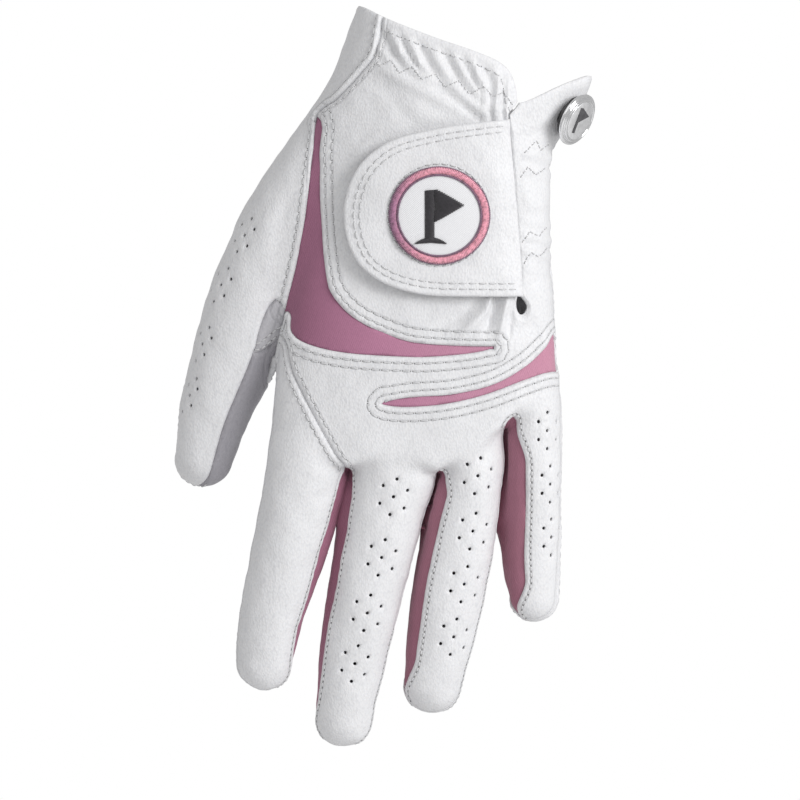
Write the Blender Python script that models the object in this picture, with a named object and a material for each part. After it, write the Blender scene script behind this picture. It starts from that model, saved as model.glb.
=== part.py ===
"""A left-hand golf glove, worn by an unseen hand: fingers hang down, the back of the hand faces -Y.

Millimetres in the tables, metres in the scene. +Z runs up the wrist, -Y is the back of the hand, and
+X is the little finger's side. The origin is the middle of the wrist opening.
"""

import math

import bmesh
import bpy
import numpy as np
from mathutils import Matrix, Vector

MM = 0.001
WALL = 0.8          # leather
LAYER = 0.3         # air between neighbouring pieces
FABRIC = 0.6        # stretch fabric
RING_SIDES = 28     # facets round the hand
DIGIT_SIDES = 16    # facets round a digit
ROUNDNESS = 2.5     # exponent of the hand's superellipse section
HINGE_GAP = 1.6     # each wall stops this far from its hinge's plane

# The hand: height, radial edge, ulnar edge, half depth.
HAND = [
    (18, -26.5, 25.5, 16.5),
    (0, -30.5, 26.5, 16.8),
    (-22, -36.5, 27.0, 16.5),
    (-50, -43.5, 26.8, 15.8),
    (-76, -48.5, 28.4, 14.4),
    (-96, -50.8, 29.4, 12.2),
    (-122, -53.6, 30.2, 9.8),
]
# A digit: axis points (x, y, z), half width and half depth at each, from its root to its tip dome.
DIGITS = {
    "index": [(-41.6, 0.0, -114, 10.3, 9.4), (-47.3, 1.5, -137, 9.9, 8.9), (-51.9, 3.5, -156, 8.9, 8.2),
              (-53.9, 5.0, -168.5, 8.0, 7.2)],
    "middle": [(-18.2, 0.0, -116, 10.6, 9.6), (-23.0, 1.5, -142, 10.2, 9.0), (-28.3, 4.0, -166, 9.4, 8.2),
               (-31.4, 6.0, -184.5, 8.3, 7.2)],
    "ring": [(4.6, 0.0, -114, 9.6, 9.2), (0.2, 1.5, -138, 10.0, 8.7), (-4.0, 4.0, -160, 9.2, 8.0),
             (-6.6, 6.0, -175, 8.0, 7.0)],
    "little": [(22.6, 0.5, -103, 8.0, 8.4), (22.0, 1.5, -121, 8.3, 7.8), (22.0, 3.5, -137, 7.9, 7.2),
               (22.4, 5.0, -150, 7.2, 6.4)],
}
MID_JOINT_SHARE = 0.47  # the middle joint's place along a digit's axis
THUMB = [(-16, 1, 12, 8.5, 9), (-27.5, 3, -10, 9.6, 11.4), (-38.5, 4.5, -30, 12.0, 12.2),
         (-47.5, 6, -46, 13.4, 12.4), (-56.5, 8.5, -66, 13.2, 11.6), (-63.0, 11, -84, 12, 10.4),
         (-68.2, 13.5, -98, 10.2, 9.2), (-71.3, 15, -111, 8.2, 7.6)]
THUMB_HINGE = 5     # the THUMB row that the hinge is at
BACK_HALF_ANGLE = 56   # a digit's back and front leather reach this far round from the middle, in degrees

# The two windows cut in the back leather, which show the stretch fabric, as (x, z).
UPPER_WINDOW = [(-38.9, -15.0), (-42.1, -42.3), (-47.0, -66.3), (-46.2, -76.3), (-36.3, -80.4), (-15.4, -82.5),
                (-6.0, -82.5), (5.4, -81.4), (11.4, -79.7), (4.8, -80.0), (-7.2, -79.4), (-15.4, -78.0),
                (-26.9, -73.0), (-34.2, -66.3), (-36.0, -59.4), (-37.8, -42.3)]
LOWER_WINDOW = [(-20.4, -96.0), (-13.4, -94.2), (-0.3, -93.5), (11.1, -90.6), (19.7, -86.0), (25.4, -80.9),
                (28.3, -76.4), (34, -72), (36, -85), (27.7, -87.0), (19.7, -89.2), (8.3, -93.2), (-3.2, -96.0),
                (-14.6, -96.8)]
SLIT_TOP, SLIT_FOOT = (16.8, -12.0), (18.7, -65.0)   # the opening slit runs between these, to a keyhole
TAB_EDGE = [(5, -17.4), (-6, -19.2), (-18.3, -22.8), (-26.6, -30.5), (-30.2, -42), (-27.8, -54.2), (-20.6, -61.4),
            (-9, -65), (5, -65.6)]     # the closure tab's free edge, from its fold's top to its foot
EMBLEM = (-4.1, -43.0)
EMBLEM_RADIUS = 13.9
BACK_HEM = [(-50, 25), (-26, 15.6), (-18.6, 11.9), (-6.5, 7.0), (5.6, 2.8), (14.1, -0.8), (16.6, -4.5),
            (18.0, -11.5), (26.9, -8.4), (50, -5)]
PALM_HEM = [(-50, 25), (-26, 15.6), (-10, 7.5), (10, -2.5), (26.9, -8.4), (50, -5)]
FLARE = [(16.5, -12.2), (21.5, -10.2), (26.9, -6.9), (34.8, -3.6), (38.7, -3.3), (39.3, -5.5), (38.0, -11),
         (36.4, -17.5), (32.6, -23.5), (27.5, -27.5), (21, -25)]   # the cuff corner that turns outward
FLARE_START_X, FLARE_Y, FLARE_BEND = 18.0, -15.9, 0.049
MARKER = (33.4, -7.9, -15.4)           # middle of the marker's seat
MARKER_NORMAL = (0.76, -0.5, -0.41)
MARKER_RADIUS = 7.6

COLOURS = {
    "leather": ((0.83, 0.83, 0.84), 0.55, 0.0),
    "stretch": ((0.50, 0.22, 0.34), 0.9, 0.0),
    "binding": ((0.80, 0.80, 0.80), 0.7, 0.0),
    "hook": ((0.70, 0.70, 0.71), 0.95, 0.0),
    "thread": ((0.85, 0.45, 0.55), 0.6, 0.0),
    "motif": ((0.03, 0.025, 0.03), 0.7, 0.0),
    "steel": ((0.72, 0.72, 0.73), 0.2, 1.0),
    "enamel": ((0.10, 0.10, 0.11), 0.3, 0.0),
}


def clear_scene():
    for obj in list(bpy.data.objects):
        bpy.data.objects.remove(obj, do_unlink=True)


def material(slot):
    found = bpy.data.materials.get(slot)
    if found:
        return found
    made = bpy.data.materials.new(slot)
    made.use_nodes = True
    colour, roughness, metallic = COLOURS[slot]
    shader = made.node_tree.nodes["Principled BSDF"]
    shader.inputs["Base Color"].default_value = (*colour, 1.0)
    shader.inputs["Roughness"].default_value = roughness
    shader.inputs["Metallic"].default_value = metallic
    return made


def add_object(name, points, faces, slot=None):
    """A mesh object from millimetre points, faces turned outward. Without a slot it is a hidden cutter."""
    mesh = bpy.data.meshes.new(name)
    mesh.from_pydata([tuple(float(c) * MM for c in p) for p in points], [], faces)
    work = bmesh.new()
    work.from_mesh(mesh)
    bmesh.ops.recalc_face_normals(work, faces=work.faces)
    bmesh.ops.triangulate(work, faces=work.faces)
    work.to_mesh(mesh)
    work.free()
    obj = bpy.data.objects.new(name, mesh)
    bpy.context.scene.collection.objects.link(obj)
    if slot:
        mesh.materials.append(material(slot))
        mesh.shade_smooth()
        mesh.set_sharp_from_angle(angle=math.radians(40))
    else:
        hide(obj)
    return obj


def hide(obj):
    obj.hide_render = True
    obj.display_type = "WIRE"


def rings_to_solid(name, rings, slot=None):
    """A closed body through rings of equal length, with flat caps."""
    count = len(rings[0])
    points = [p for ring in rings for p in ring]
    faces = []
    for row in range(len(rings) - 1):
        for k in range(count):
            a, b = row * count + k, row * count + (k + 1) % count
            faces.append((a, b, b + count, a + count))
    faces.append(tuple(range(count)))
    faces.append(tuple(range(len(points) - count, len(points))))
    return add_object(name, points, faces, slot)


def cut(obj, tool, operation):
    step = obj.modifiers.new(f"{operation.lower()}_{tool.name}", "BOOLEAN")
    step.operation = operation
    step.object = tool
    step.solver = "EXACT"


def prism(name, outline, y_low, y_high):
    """A cutter: an outline of (x, z) points extruded along Y."""
    return rings_to_solid(name, [[(x, y_low, z) for x, z in outline], [(x, y_high, z) for x, z in outline]])


def smooth_outline(points, per_span=5, closed=True):
    """Catmull-Rom curve through a few outline points."""
    made = []
    count = len(points)
    spans = count if closed else count - 1
    for i in range(spans):
        if closed:
            p = [np.array(points[(i + k) % count], float) for k in (-1, 0, 1, 2)]
        else:
            p = [np.array(points[min(max(i + k, 0), count - 1)], float) for k in (-1, 0, 1, 2)]
        for j in range(per_span):
            t = j / per_span
            made.append(tuple(0.5 * (2 * p[1] + (p[2] - p[0]) * t + (2 * p[0] - 5 * p[1] + 4 * p[2] - p[3]) * t**2
                                     + (3 * p[1] - p[0] - 3 * p[2] + p[3]) * t**3)))
    if not closed:
        made.append(tuple(points[-1]))
    return made


# ---- the hand's own surface -------------------------------------------------------------------

def hand_at(z):
    """Middle x, half width and half depth of the hand at height z."""
    rows = sorted(HAND)
    heights = [r[0] for r in rows]
    left, right, depth = (float(np.interp(z, heights, [r[k] for r in rows])) for k in (1, 2, 3))
    return (left + right) / 2, (right - left) / 2, depth


def hand_y(x, z, inset=0.0):
    """Y of the back of the hand over (x, z), with the skin moved in by inset."""
    middle, half, depth = hand_at(z)
    share = min(0.98, abs(x - middle) / (half - inset))
    return -(depth - inset) * (1 - share**ROUNDNESS) ** (1 / ROUNDNESS)


def hand_solid(name, inset, z_high=17.0, z_low=-121.0):
    heights = [z for z, *_ in HAND if z_low < z < z_high]
    heights = [z_high, *heights, z_low]
    rings = []
    for z in heights:
        middle, half, depth = hand_at(z)
        ring = []
        for k in range(RING_SIDES):
            angle = 2 * math.pi * k / RING_SIDES
            c, s = math.cos(angle), math.sin(angle)
            power = 2 / ROUNDNESS
            ring.append((middle + (half - inset) * math.copysign(abs(s) ** power, s),
                         -(depth - inset) * math.copysign(abs(c) ** power, c), z))
        rings.append(ring)
    return rings_to_solid(name, rings)


# ---- digits -----------------------------------------------------------------------------------

class Axis:
    """A digit's centre line, with its half width and half depth, by length from the root."""

    def __init__(self, rows):
        self.points = [Vector(r[:3]) for r in rows]
        self.sizes = [r[3:] for r in rows]
        self.lengths = [0.0]
        for a, b in zip(self.points, self.points[1:]):
            self.lengths.append(self.lengths[-1] + (b - a).length)
        self.total = self.lengths[-1]
        run = self.points[-1] - self.points[0]
        self.across = Vector((-run.z, 0, run.x)).normalized()   # towards +X, square to the digit

    def at(self, s):
        """Centre, half width, half depth at length s; past the last point the digit closes in a dome."""
        inside = min(max(s, 0.0), self.total)
        centre = Vector([float(np.interp(inside, self.lengths, [p[k] for p in self.points])) for k in range(3)])
        width, depth = (float(np.interp(inside, self.lengths, [z[k] for z in self.sizes])) for k in range(2))
        if s > self.total:
            end = (self.points[-1] - self.points[-2]).normalized()
            centre = self.points[-1] + end * (s - self.total)
            dome = math.sqrt(max(0.0, 1 - ((s - self.total) / self.sizes[-1][0]) ** 2))
            width, depth = width * dome, depth * dome
        return centre, width, depth

    def frame(self, s):
        step = 0.5
        along = (self.at(s + step)[0] - self.at(s - step)[0]).normalized()
        out = self.across - along * self.across.dot(along)
        out.normalize()
        back = out.cross(along)
        return out, back if back.y < 0 else -back

    def skin(self, s, angle, inset=0.0):
        """A point on the skin: angle 0 is the back, +90 degrees the +X side."""
        centre, width, depth = self.at(s)
        out, back = self.frame(min(s, self.total))
        turn = math.radians(angle)
        return (centre + out * (max(width - inset, 0.4) * math.sin(turn))
                + back * (max(depth - inset, 0.4) * math.cos(turn)))


def strip(name, axis, start, end, angle_from, angle_to, slot):
    """One leather or fabric wall of a digit: a curved plate between two lengths and two angles."""
    stations = max(2, int((end - start) / 9) + 1)
    lengths = list(np.linspace(start, min(end, axis.total), stations))
    if end > axis.total:
        last = axis.sizes[-1][0]
        lengths += [axis.total + last * part for part in (0.5, 0.8, 0.95)]
    across = max(2, round(abs(angle_to - angle_from) / (360 / DIGIT_SIDES)))
    points, faces = [], []
    for s in lengths:
        _, width, _ = axis.at(s)
        trim = math.degrees(LAYER / 2 / max(width, 2.0))
        for k in range(across + 1):
            angle = angle_from + trim + (angle_to - angle_from - 2 * trim) * k / across
            points.append(axis.skin(s, angle))
            points.append(axis.skin(s, angle, WALL))
    row = 2 * (across + 1)
    for i in range(len(lengths) - 1):
        for k in range(across):
            a = i * row + 2 * k
            faces.append((a, a + 2, a + row + 2, a + row))
            faces.append((a + 1, a + row + 1, a + row + 3, a + 3))
        for a in (i * row, i * row + 2 * across):
            faces.append((a, a + 1, a + row + 1, a + row))
    for i in (0, len(lengths) - 1):
        for k in range(across):
            a = i * row + 2 * k
            faces.append((a, a + 1, a + 3, a + 2))
    return add_object(name, points, faces, slot)


def digit_walls(finger):
    """Wall name, first and last angle, and material for one finger."""
    edge = BACK_HALF_ANGLE
    left, right = finger != "index", finger != "little"
    walls = [("back", -edge if left else -90, edge if right else 90, "leather"),
             ("front", 180 - edge if right else 90, 180 + edge if left else 270, "leather")]
    if right:
        walls.append(("ulnar_fourchette", edge, 180 - edge, "stretch"))
    if left:
        walls.append(("radial_fourchette", 180 + edge, 360 - edge, "stretch"))
    return walls


def build_fingers():
    for finger, rows in DIGITS.items():
        axis = Axis(rows)
        middle = axis.total * MID_JOINT_SHARE
        tip = axis.total + rows[-1][3]
        for wall, angle_from, angle_to, slot in digit_walls(finger):
            strip(f"{finger}_root_{wall}", axis, HINGE_GAP, middle - HINGE_GAP, angle_from, angle_to, slot)
            strip(f"{finger}_tip_{wall}", axis, middle + HINGE_GAP, tip, angle_from, angle_to, slot)


# ---- hand panels ------------------------------------------------------------------------------

def finger_room():
    """One cutter that ends the hand's walls just above each finger's hinge, in a step for each finger."""
    outline = [(-62, -140)]
    bounds = {"index": (-62, -30.4), "middle": (-30.0, -6.4), "ring": (-6.0, 13.4), "little": (13.8, 42)}
    for finger, (low, high) in bounds.items():
        axis = Axis(DIGITS[finger])
        side = axis.across
        top = axis.points[0] + Vector((-side.z, 0, side.x)) * HINGE_GAP
        slope = side.z / side.x
        outline += [(x, top.z + slope * (x - top.x)) for x in (low, high)]
    outline.append((42, -140))
    return prism("cutter_finger_room", outline, -30, 30)


def build_hand():
    flesh = hand_solid("cutter_hand_flesh", WALL, 19.0, -123.0)
    lining_in = hand_solid("cutter_lining_in", WALL + LAYER + FABRIC, 19.0, -123.0)
    axis = Axis(THUMB)
    thumb_room = rings_to_solid("cutter_thumb_room", [
        [axis.skin(s, 360 * k / DIGIT_SIDES, -LAYER) for k in range(DIGIT_SIDES)]
        for s in np.linspace(0, axis.total, 7)])
    room = finger_room()
    cuff_top = prism("cutter_cuff_top", [*BACK_HEM, (50, 40), (-50, 40)], -40, 0)
    palm_top = prism("cutter_palm_top", [*PALM_HEM, (50, 40), (-50, 40)], 0, 40)
    x, z = SLIT_FOOT
    slit = prism("cutter_slit", [(slit_x(25) - 0.5, 25), (slit_x(25) + 0.5, 25), (x + 0.5, z + 1.5), (x + 1.2, z - 1.0),
                                 (x + 1.4, z - 3.6), (x + 0.2, z - 5.2), (x - 1.2, z - 3.6), (x - 1.4, z - 1.0),
                                 (x - 0.5, z + 1.5)], -40, 0)

    parting = 0.15   # half the air gap between back and palm panels
    yoke_seam = [(-48.4, -77.4), (-46.0, -86), (-40.6, -97.4), (-33.6, -110), (-30.2, -114)]
    regions = {
        # name: (outline of the region it keeps, y range)
        "back_panel": ([(-60, 30), (60, 30), (60, -130), (-30.2, -130), *reversed(yoke_seam), (-60, -77.4)],
                       (-40, -parting)),
        "index_yoke_panel": ([(-60, -77.7), *[(x - LAYER, z - LAYER) for x, z in yoke_seam], (-30.5, -130),
                              (-60, -130)], (-40, -parting)),
        "palm_panel": ([(-60, 30), (60, 30), (60, -130), (-60, -130)], (parting, 40)),
    }
    windows = [prism("cutter_upper_window", smooth_outline(UPPER_WINDOW, 3), -40, 5),
               prism("cutter_lower_window", smooth_outline(LOWER_WINDOW, 3), -40, 5)]
    for name, (outline, (low, high)) in regions.items():
        panel = hand_solid(name, 0.0)
        show(panel, "leather")
        cut(panel, flesh, "DIFFERENCE")
        cut(panel, prism(f"cutter_{name}", outline, low, high), "INTERSECT")
        for tool in (thumb_room, palm_top if name == "palm_panel" else cuff_top, room):
            cut(panel, tool, "DIFFERENCE")
        if name == "back_panel":
            for tool in (slit, *windows):
                cut(panel, tool, "DIFFERENCE")
    return lining_in, thumb_room, cuff_top


def show(obj, slot):
    """Turns a cutter into a real piece."""
    obj.hide_render = False
    obj.display_type = "TEXTURED"
    obj.data.materials.append(material(slot))
    obj.data.shade_smooth()
    obj.data.set_sharp_from_angle(angle=math.radians(40))


def lining_piece(name, slot, outline, inner, more=()):
    """A fabric piece behind the leather: an outline cut from the thin layer just inside the skin."""
    piece = hand_solid(name, WALL + LAYER)
    show(piece, slot)
    cut(piece, inner, "DIFFERENCE")
    cut(piece, prism(f"cutter_{name}", outline, -40, -0.4), "INTERSECT")
    for tool in more:
        cut(piece, tool, "DIFFERENCE")
    return piece


def build_inserts(inner, thumb_room, cuff_top):
    lining_piece("upper_stretch_insert", "stretch",
                 [(-50, -14), (-36, -14), (-31, -60), (-22, -71), (14, -77), (14, -83.4), (4, -86), (-12, -87.5), (-50, -84)],
                 inner, (thumb_room,))
    lining_piece("lower_stretch_insert", "stretch",
                 [(-22, -91.5), (-2, -90.5), (12, -87), (19, -79), (24, -72), (40, -72), (40, -93), (8, -98.5),
                  (-20, -100)], inner)
    lining_piece("wrist_elastic", "binding", [(-30, 4), (-30, 9), (12, -14), (12, -20)], inner,
                 (cuff_top, thumb_room))
    lining_piece("ulnar_elastic", "binding", [(18, -22), (18, -40), (40, -40), (40, -22)], inner, (cuff_top,))


def sheet(name, slot, outline, surface, lift, thick, step=4.0):
    """A soft patch that lies lift outside the surface y(x, z): its outline is filled with a grid and bent to it."""
    work = bmesh.new()
    corners = [work.verts.new((x, 0, z)) for x, z in outline]
    work.faces.new(corners)
    xs = [p[0] for p in outline]
    zs = [p[1] for p in outline]
    for low, high, axis in ((min(xs), max(xs), 0), (min(zs), max(zs), 2)):
        for value in np.arange(low + step, high - 0.6, step):
            normal = Vector((0, 0, 0))
            normal[axis] = 1
            place = Vector((0, 0, 0))
            place[axis] = value
            bmesh.ops.bisect_plane(work, geom=work.verts[:] + work.edges[:] + work.faces[:], plane_co=place,
                                   plane_no=normal, dist=1e-4)
    bmesh.ops.triangulate(work, faces=work.faces[:])
    work.verts.ensure_lookup_table()
    flat = [(v.co.x, v.co.z) for v in work.verts]
    cells = [[v.index for v in f.verts] for f in work.faces]
    rim = [[v.index for v in e.verts] for e in work.edges if len(e.link_faces) == 1]
    work.free()
    count = len(flat)
    points = [(x, surface(x, z) - lift - thick, z) for x, z in flat]
    points += [(x, surface(x, z) - lift, z) for x, z in flat]
    faces = [tuple(c) for c in cells] + [tuple(i + count for i in reversed(c)) for c in cells]
    faces += [(a, b, b + count, a + count) for a, b in rim]
    return add_object(name, points, faces, slot)


def slit_x(z):
    (x0, z0), (x1, z1) = SLIT_TOP, SLIT_FOOT
    return x0 + (x1 - x0) * (z - z0) / (z1 - z0)


def inset_outline(points, distance):
    """The outline moved inward by a distance, corner by corner."""
    made = []
    for i, here in enumerate(points):
        before, after = Vector(points[i - 1]), Vector(points[(i + 1) % len(points)])
        here = Vector(here)
        first, second = (here - before).normalized(), (after - here).normalized()
        normal = Vector((first.y + second.y, -first.x - second.x)).normalized()
        made.append(tuple(here - normal * (distance / max(0.5, normal.dot(Vector((first.y, -first.x)))))))
    return made


def tab_outline(inset=0.0):
    """The closure tab: straight at its fold, round at its free end."""
    top, foot = -16.0, -65.6
    edge = smooth_outline([(slit_x(top) - 0.6, top), *TAB_EDGE, (slit_x(foot) - 0.6, foot)], 3, closed=False)
    return inset_outline(edge, inset) if inset else edge


def disc(name, slot, radius, lift, thick, hole=0.0, sides=32):
    """A round piece on the tab, over the emblem's place."""
    x0, z0 = EMBLEM
    rings = []
    radii = [(hole, lift), (hole, lift + thick), (radius, lift + thick), (radius, lift)]
    for r, up in radii:
        ring = []
        for k in range(sides):
            turn = 2 * math.pi * k / sides
            x, z = x0 + r * math.sin(turn), z0 + r * math.cos(turn)
            ring.append((x, hand_y(x, z) - up, z))
        rings.append(ring)
    count = sides
    points = [p for ring in rings for p in ring]
    faces = []
    for i in range(4):
        j = (i + 1) % 4
        for k in range(count):
            n = (k + 1) % count
            faces.append((i * count + k, i * count + n, j * count + n, j * count + k))
    return add_object(name, points, faces, slot)


def build_tab():
    lift = 2.0
    sheet("loop_patch", "hook", [(-20, -26), (8, -26), (8, -58), (-20, -58)], hand_y, 0.3, 0.6)
    sheet("hook_patch", "hook", [(-17, -28), (5, -28), (5, -56), (-17, -56)], hand_y, lift - 0.8, 0.7)
    sheet("tab_lining", "leather", tab_outline(1.5), hand_y, lift + 0.2, 0.5)
    sheet("closure_tab", "leather", tab_outline(), hand_y, lift + 1.0, 0.9)
    top = lift + 1.0 + 0.9 + LAYER
    sheet("emblem_twill", "binding", circle(EMBLEM, EMBLEM_RADIUS - 3.3), hand_y, top, 0.5)
    disc("emblem_border", "thread", EMBLEM_RADIUS, top, 0.9, hole=EMBLEM_RADIUS - 2.9)
    sheet("emblem_motif", "motif", motif_outline(), hand_y, top + 0.5 + LAYER, 0.4)


def circle(middle, radius, sides=28):
    return [(middle[0] + radius * math.sin(2 * math.pi * k / sides),
             middle[1] + radius * math.cos(2 * math.pi * k / sides)) for k in range(sides)]


def motif_outline():
    """A plain flag on its pole, over the emblem's middle."""
    x, z = EMBLEM
    return [(x - 1.9, z - 7.5), (x - 0.3, z - 7.5), (x - 0.3, z - 0.6), (x + 6.6, z + 3.3), (x - 0.3, z + 7.2),
            (x - 1.9, z + 7.2)]


# ---- ball marker ------------------------------------------------------------------------------

def turned(name, slot, profile, sides=32):
    """A round piece on the marker's axis: profile is (radius, height) from its foot to its top."""
    normal = Vector(MARKER_NORMAL).normalized()
    side = normal.cross(Vector((0, 0, 1))).normalized()
    up = side.cross(normal)
    middle = Vector(MARKER)
    rings = [[middle + normal * h + (side * math.cos(2 * math.pi * k / sides)
                                     + up * math.sin(2 * math.pi * k / sides)) * r for k in range(sides)]
             for r, h in profile]
    return rings_to_solid(name, rings, slot)


def flare_y(x, z):
    """Y of the cuff corner's outside: it leaves the back of the hand and turns outward and down."""
    run = x - FLARE_START_X
    return FLARE_Y + FLARE_BEND * run * abs(run) - 0.055 * max(0.0, min(run, 15)) * (z - MARKER[2])


def build_marker(hand_room):
    """A leather corner that flares from the cuff, the snap seat on it, and the marker that lifts off."""
    corner = sheet("cuff_corner", "leather", smooth_outline(FLARE, 2), flare_y, -1.0, 1.0, 3.0)
    cut(corner, hand_room, "DIFFERENCE")
    turned("marker_seat", "steel", [(5.6, -1.2), (6.2, -0.9), (6.2, -0.3), (5.8, 0.0)])
    turned("ball_marker", "steel", [(6.4, 0.3), (7.3, 0.5), (MARKER_RADIUS, 0.9), (MARKER_RADIUS, 1.7),
                                    (7.2, 2.1), (6.0, 2.1)])
    turned("marker_inlay", "enamel", [(5.2, 2.4), (5.2, 2.7)])


# ---- thumb ------------------------------------------------------------------------------------

def build_thumb(hand_room):
    axis = Axis(THUMB)
    hinge = axis.lengths[THUMB_HINGE]
    tip = axis.total + THUMB[-1][3]
    for wall, angle_from, angle_to in (("back", -100, 78), ("front", 78, 260)):
        base = strip(f"thumb_base_{wall}", axis, 4.0, hinge - HINGE_GAP, angle_from, angle_to, "leather")
        cut(base, hand_room, "DIFFERENCE")
        strip(f"thumb_tip_{wall}", axis, hinge + HINGE_GAP, tip, angle_from, angle_to, "leather")


def main():
    clear_scene()
    build_fingers()
    inner, thumb_room, cuff_top = build_hand()
    build_inserts(inner, thumb_room, cuff_top)
    hand_room = hand_solid("cutter_hand_room", -LAYER, 19.0, -123.0)
    build_thumb(hand_room)
    build_tab()
    build_marker(hand_room)


main()
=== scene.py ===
"""A left-hand golf glove, worn by an unseen hand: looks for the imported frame.

Tables and fields are in millimetres, in the frame's axes; meshes go into the scene in metres.
The whole skin is one implicit surface. It is meshed once, cut along the glove's seams, and each region
becomes a panel of leather or stretch fabric with its own thickness, edge and stitching.
"""

import functools
import math

import bpy
import numpy as np
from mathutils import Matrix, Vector
from mathutils.kdtree import KDTree


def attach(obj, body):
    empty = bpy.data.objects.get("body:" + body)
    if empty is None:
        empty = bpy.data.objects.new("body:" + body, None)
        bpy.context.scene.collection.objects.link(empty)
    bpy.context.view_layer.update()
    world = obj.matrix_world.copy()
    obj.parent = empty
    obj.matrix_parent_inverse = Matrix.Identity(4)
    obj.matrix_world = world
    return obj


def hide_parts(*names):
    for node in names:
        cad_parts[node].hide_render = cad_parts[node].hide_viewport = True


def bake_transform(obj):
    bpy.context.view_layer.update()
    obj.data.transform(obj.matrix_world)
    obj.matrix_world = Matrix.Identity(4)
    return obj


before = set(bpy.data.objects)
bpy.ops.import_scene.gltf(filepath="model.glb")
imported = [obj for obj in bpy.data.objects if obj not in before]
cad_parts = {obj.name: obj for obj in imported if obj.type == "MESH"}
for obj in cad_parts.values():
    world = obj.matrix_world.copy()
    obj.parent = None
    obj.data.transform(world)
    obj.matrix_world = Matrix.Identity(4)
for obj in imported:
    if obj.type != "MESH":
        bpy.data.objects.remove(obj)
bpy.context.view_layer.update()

MM = 0.001
CELL = 0.9             # surface mesh spacing
SEAM_REACH = 8.0       # distances to seams are stored up to this
LEATHER = 0.8          # leather thickness
FABRIC_SINK = 0.55     # the fabric's outer face lies this far under the leather's
FABRIC = 0.5

# ---- the same driving sizes as the frame's ------------------------------------------------------

# height, radial edge, ulnar edge, half depth
HAND_ROWS = [
    (-122, -53.6, 30.2, 9.8), (-96, -50.8, 29.4, 12.2), (-76, -48.5, 28.4, 14.4), (-50, -43.5, 26.8, 15.8),
    (-22, -36.5, 27.0, 16.5), (0, -30.5, 26.5, 16.8), (24, -25.5, 25.5, 16.5)]
ROUNDNESS = 2.5
# x, y, z, half width, half depth, from the root to the tip dome
DIGITS = {
    "index": [(-42.0, 0.0, -114, 11.0, 9.6), (-47.3, 1.5, -137, 9.9, 8.9), (-51.9, 3.5, -156, 8.9, 8.2),
              (-53.9, 5.0, -168.5, 8.0, 7.2)],
    "middle": [(-17.2, 0.0, -116, 11.6, 9.6), (-23.0, 1.5, -142, 10.2, 9.0), (-28.3, 4.0, -166, 9.4, 8.2),
               (-31.4, 6.0, -184.5, 8.3, 7.2)],
    "ring": [(5.3, 0.0, -114, 8.5, 9.2), (0.5, 1.5, -138, 10.3, 8.7), (-3.6, 4.0, -160, 9.6, 8.0),
             (-6.3, 6.0, -175, 8.3, 7.0)],
    "little": [(22.2, 0.5, -103, 7.8, 8.4), (22.3, 1.5, -121, 7.8, 7.8), (22.0, 3.5, -137, 7.9, 7.2),
               (22.4, 5.0, -150, 7.2, 6.4)],
    "thumb": [(-16, 1, 12, 8.5, 9), (-27.5, 3, -10, 9.6, 11.4), (-38.5, 4.5, -30, 12.0, 12.2),
              (-47.5, 6, -46, 13.4, 12.4), (-56.5, 8.5, -66, 13.2, 11.6), (-63.0, 11, -84, 12, 10.4),
              (-68.2, 13.5, -98, 10.2, 9.2), (-71.3, 15, -111, 8.2, 7.6)],
}
FINGERS = ("index", "middle", "ring", "little")
MID_JOINT_SHARE = 0.47
ROOT_DEPTH = 15.0      # a digit's round form starts this far above its root, inside the palm
THUMB_HINGE = 5
# how far the leather reaches round each finger from its back, in degrees, on the radial and the ulnar side
SIDE_ANGLES = {"index": (90, 72), "middle": (68, 86), "ring": (42, 86), "little": (18, 90)}
ROOT_ANGLES = {"index": (90, 74), "middle": (88, 90), "ring": (80, 88), "little": (42, 90)}    # at its root
FRONT_ANGLE = 124      # and where the palm's leather starts
# the fabric wall on each finger's radial and ulnar side: the share of the gap to its neighbour that it fills,
# how far round it is fullest (a back share), and the most that it stands out at a few heights
WALLS = {
    "index": (None, (0.7, 0.0, [(-119, 4), (-124, 1.7), (-136, 1.5), (-146, 0.9), (-156, 0.1)])),
    "middle": ((0.7, -0.30, [(-119, 4), (-124, 2.8), (-140, 2.0), (-153, 1.5), (-166, 0.7), (-176, 0)]),
               (0.05, -0.6, [(-118, 0.3), (-134, 0.1)])),
    "ring": ((1.28, -0.42, [(-128, 4), (-132, 1.8), (-137, 0.8), (-150, 0.9), (-162, 0.5), (-170, 0)]),
             (0.05, -0.6, [(-110, 0.3), (-134, 0.1)])),
    "little": ((1.28, -0.42, [(-130, 4), (-136, 2.0), (-142, 1.3), (-150, 0.9), (-156, 0.2)]), None)}
KNUCKLE_END = [(-60, -108), (-42, -110), (-31, -113.4), (-17, -112), (-5.5, -114.8), (6, -110), (16.8, -98.8),
               (34, -98)]
SLIT = [(18.1, -10.8), (17.2, -12.5), (15.1, -14.9), (15.2, -18.0), (17.2, -44.0), (18.7, -65.0)]
SLIT_FOOT = SLIT[-1]
SLIT_HALF = 0.3


# ---- the skin as a field ------------------------------------------------------------------------

def unit(v):
    v = np.asarray(v, float)
    return v / np.linalg.norm(v, axis=-1, keepdims=True)


def smooth_step(value, low, high):
    t = np.clip((value - low) / (high - low), 0, 1)
    return t * t * (3 - 2 * t)


def smooth_min(a, b, k):
    h = np.clip(0.5 + 0.5 * (b - a) / k, 0, 1)
    return b + (a - b) * h - k * h * (1 - h)


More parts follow.
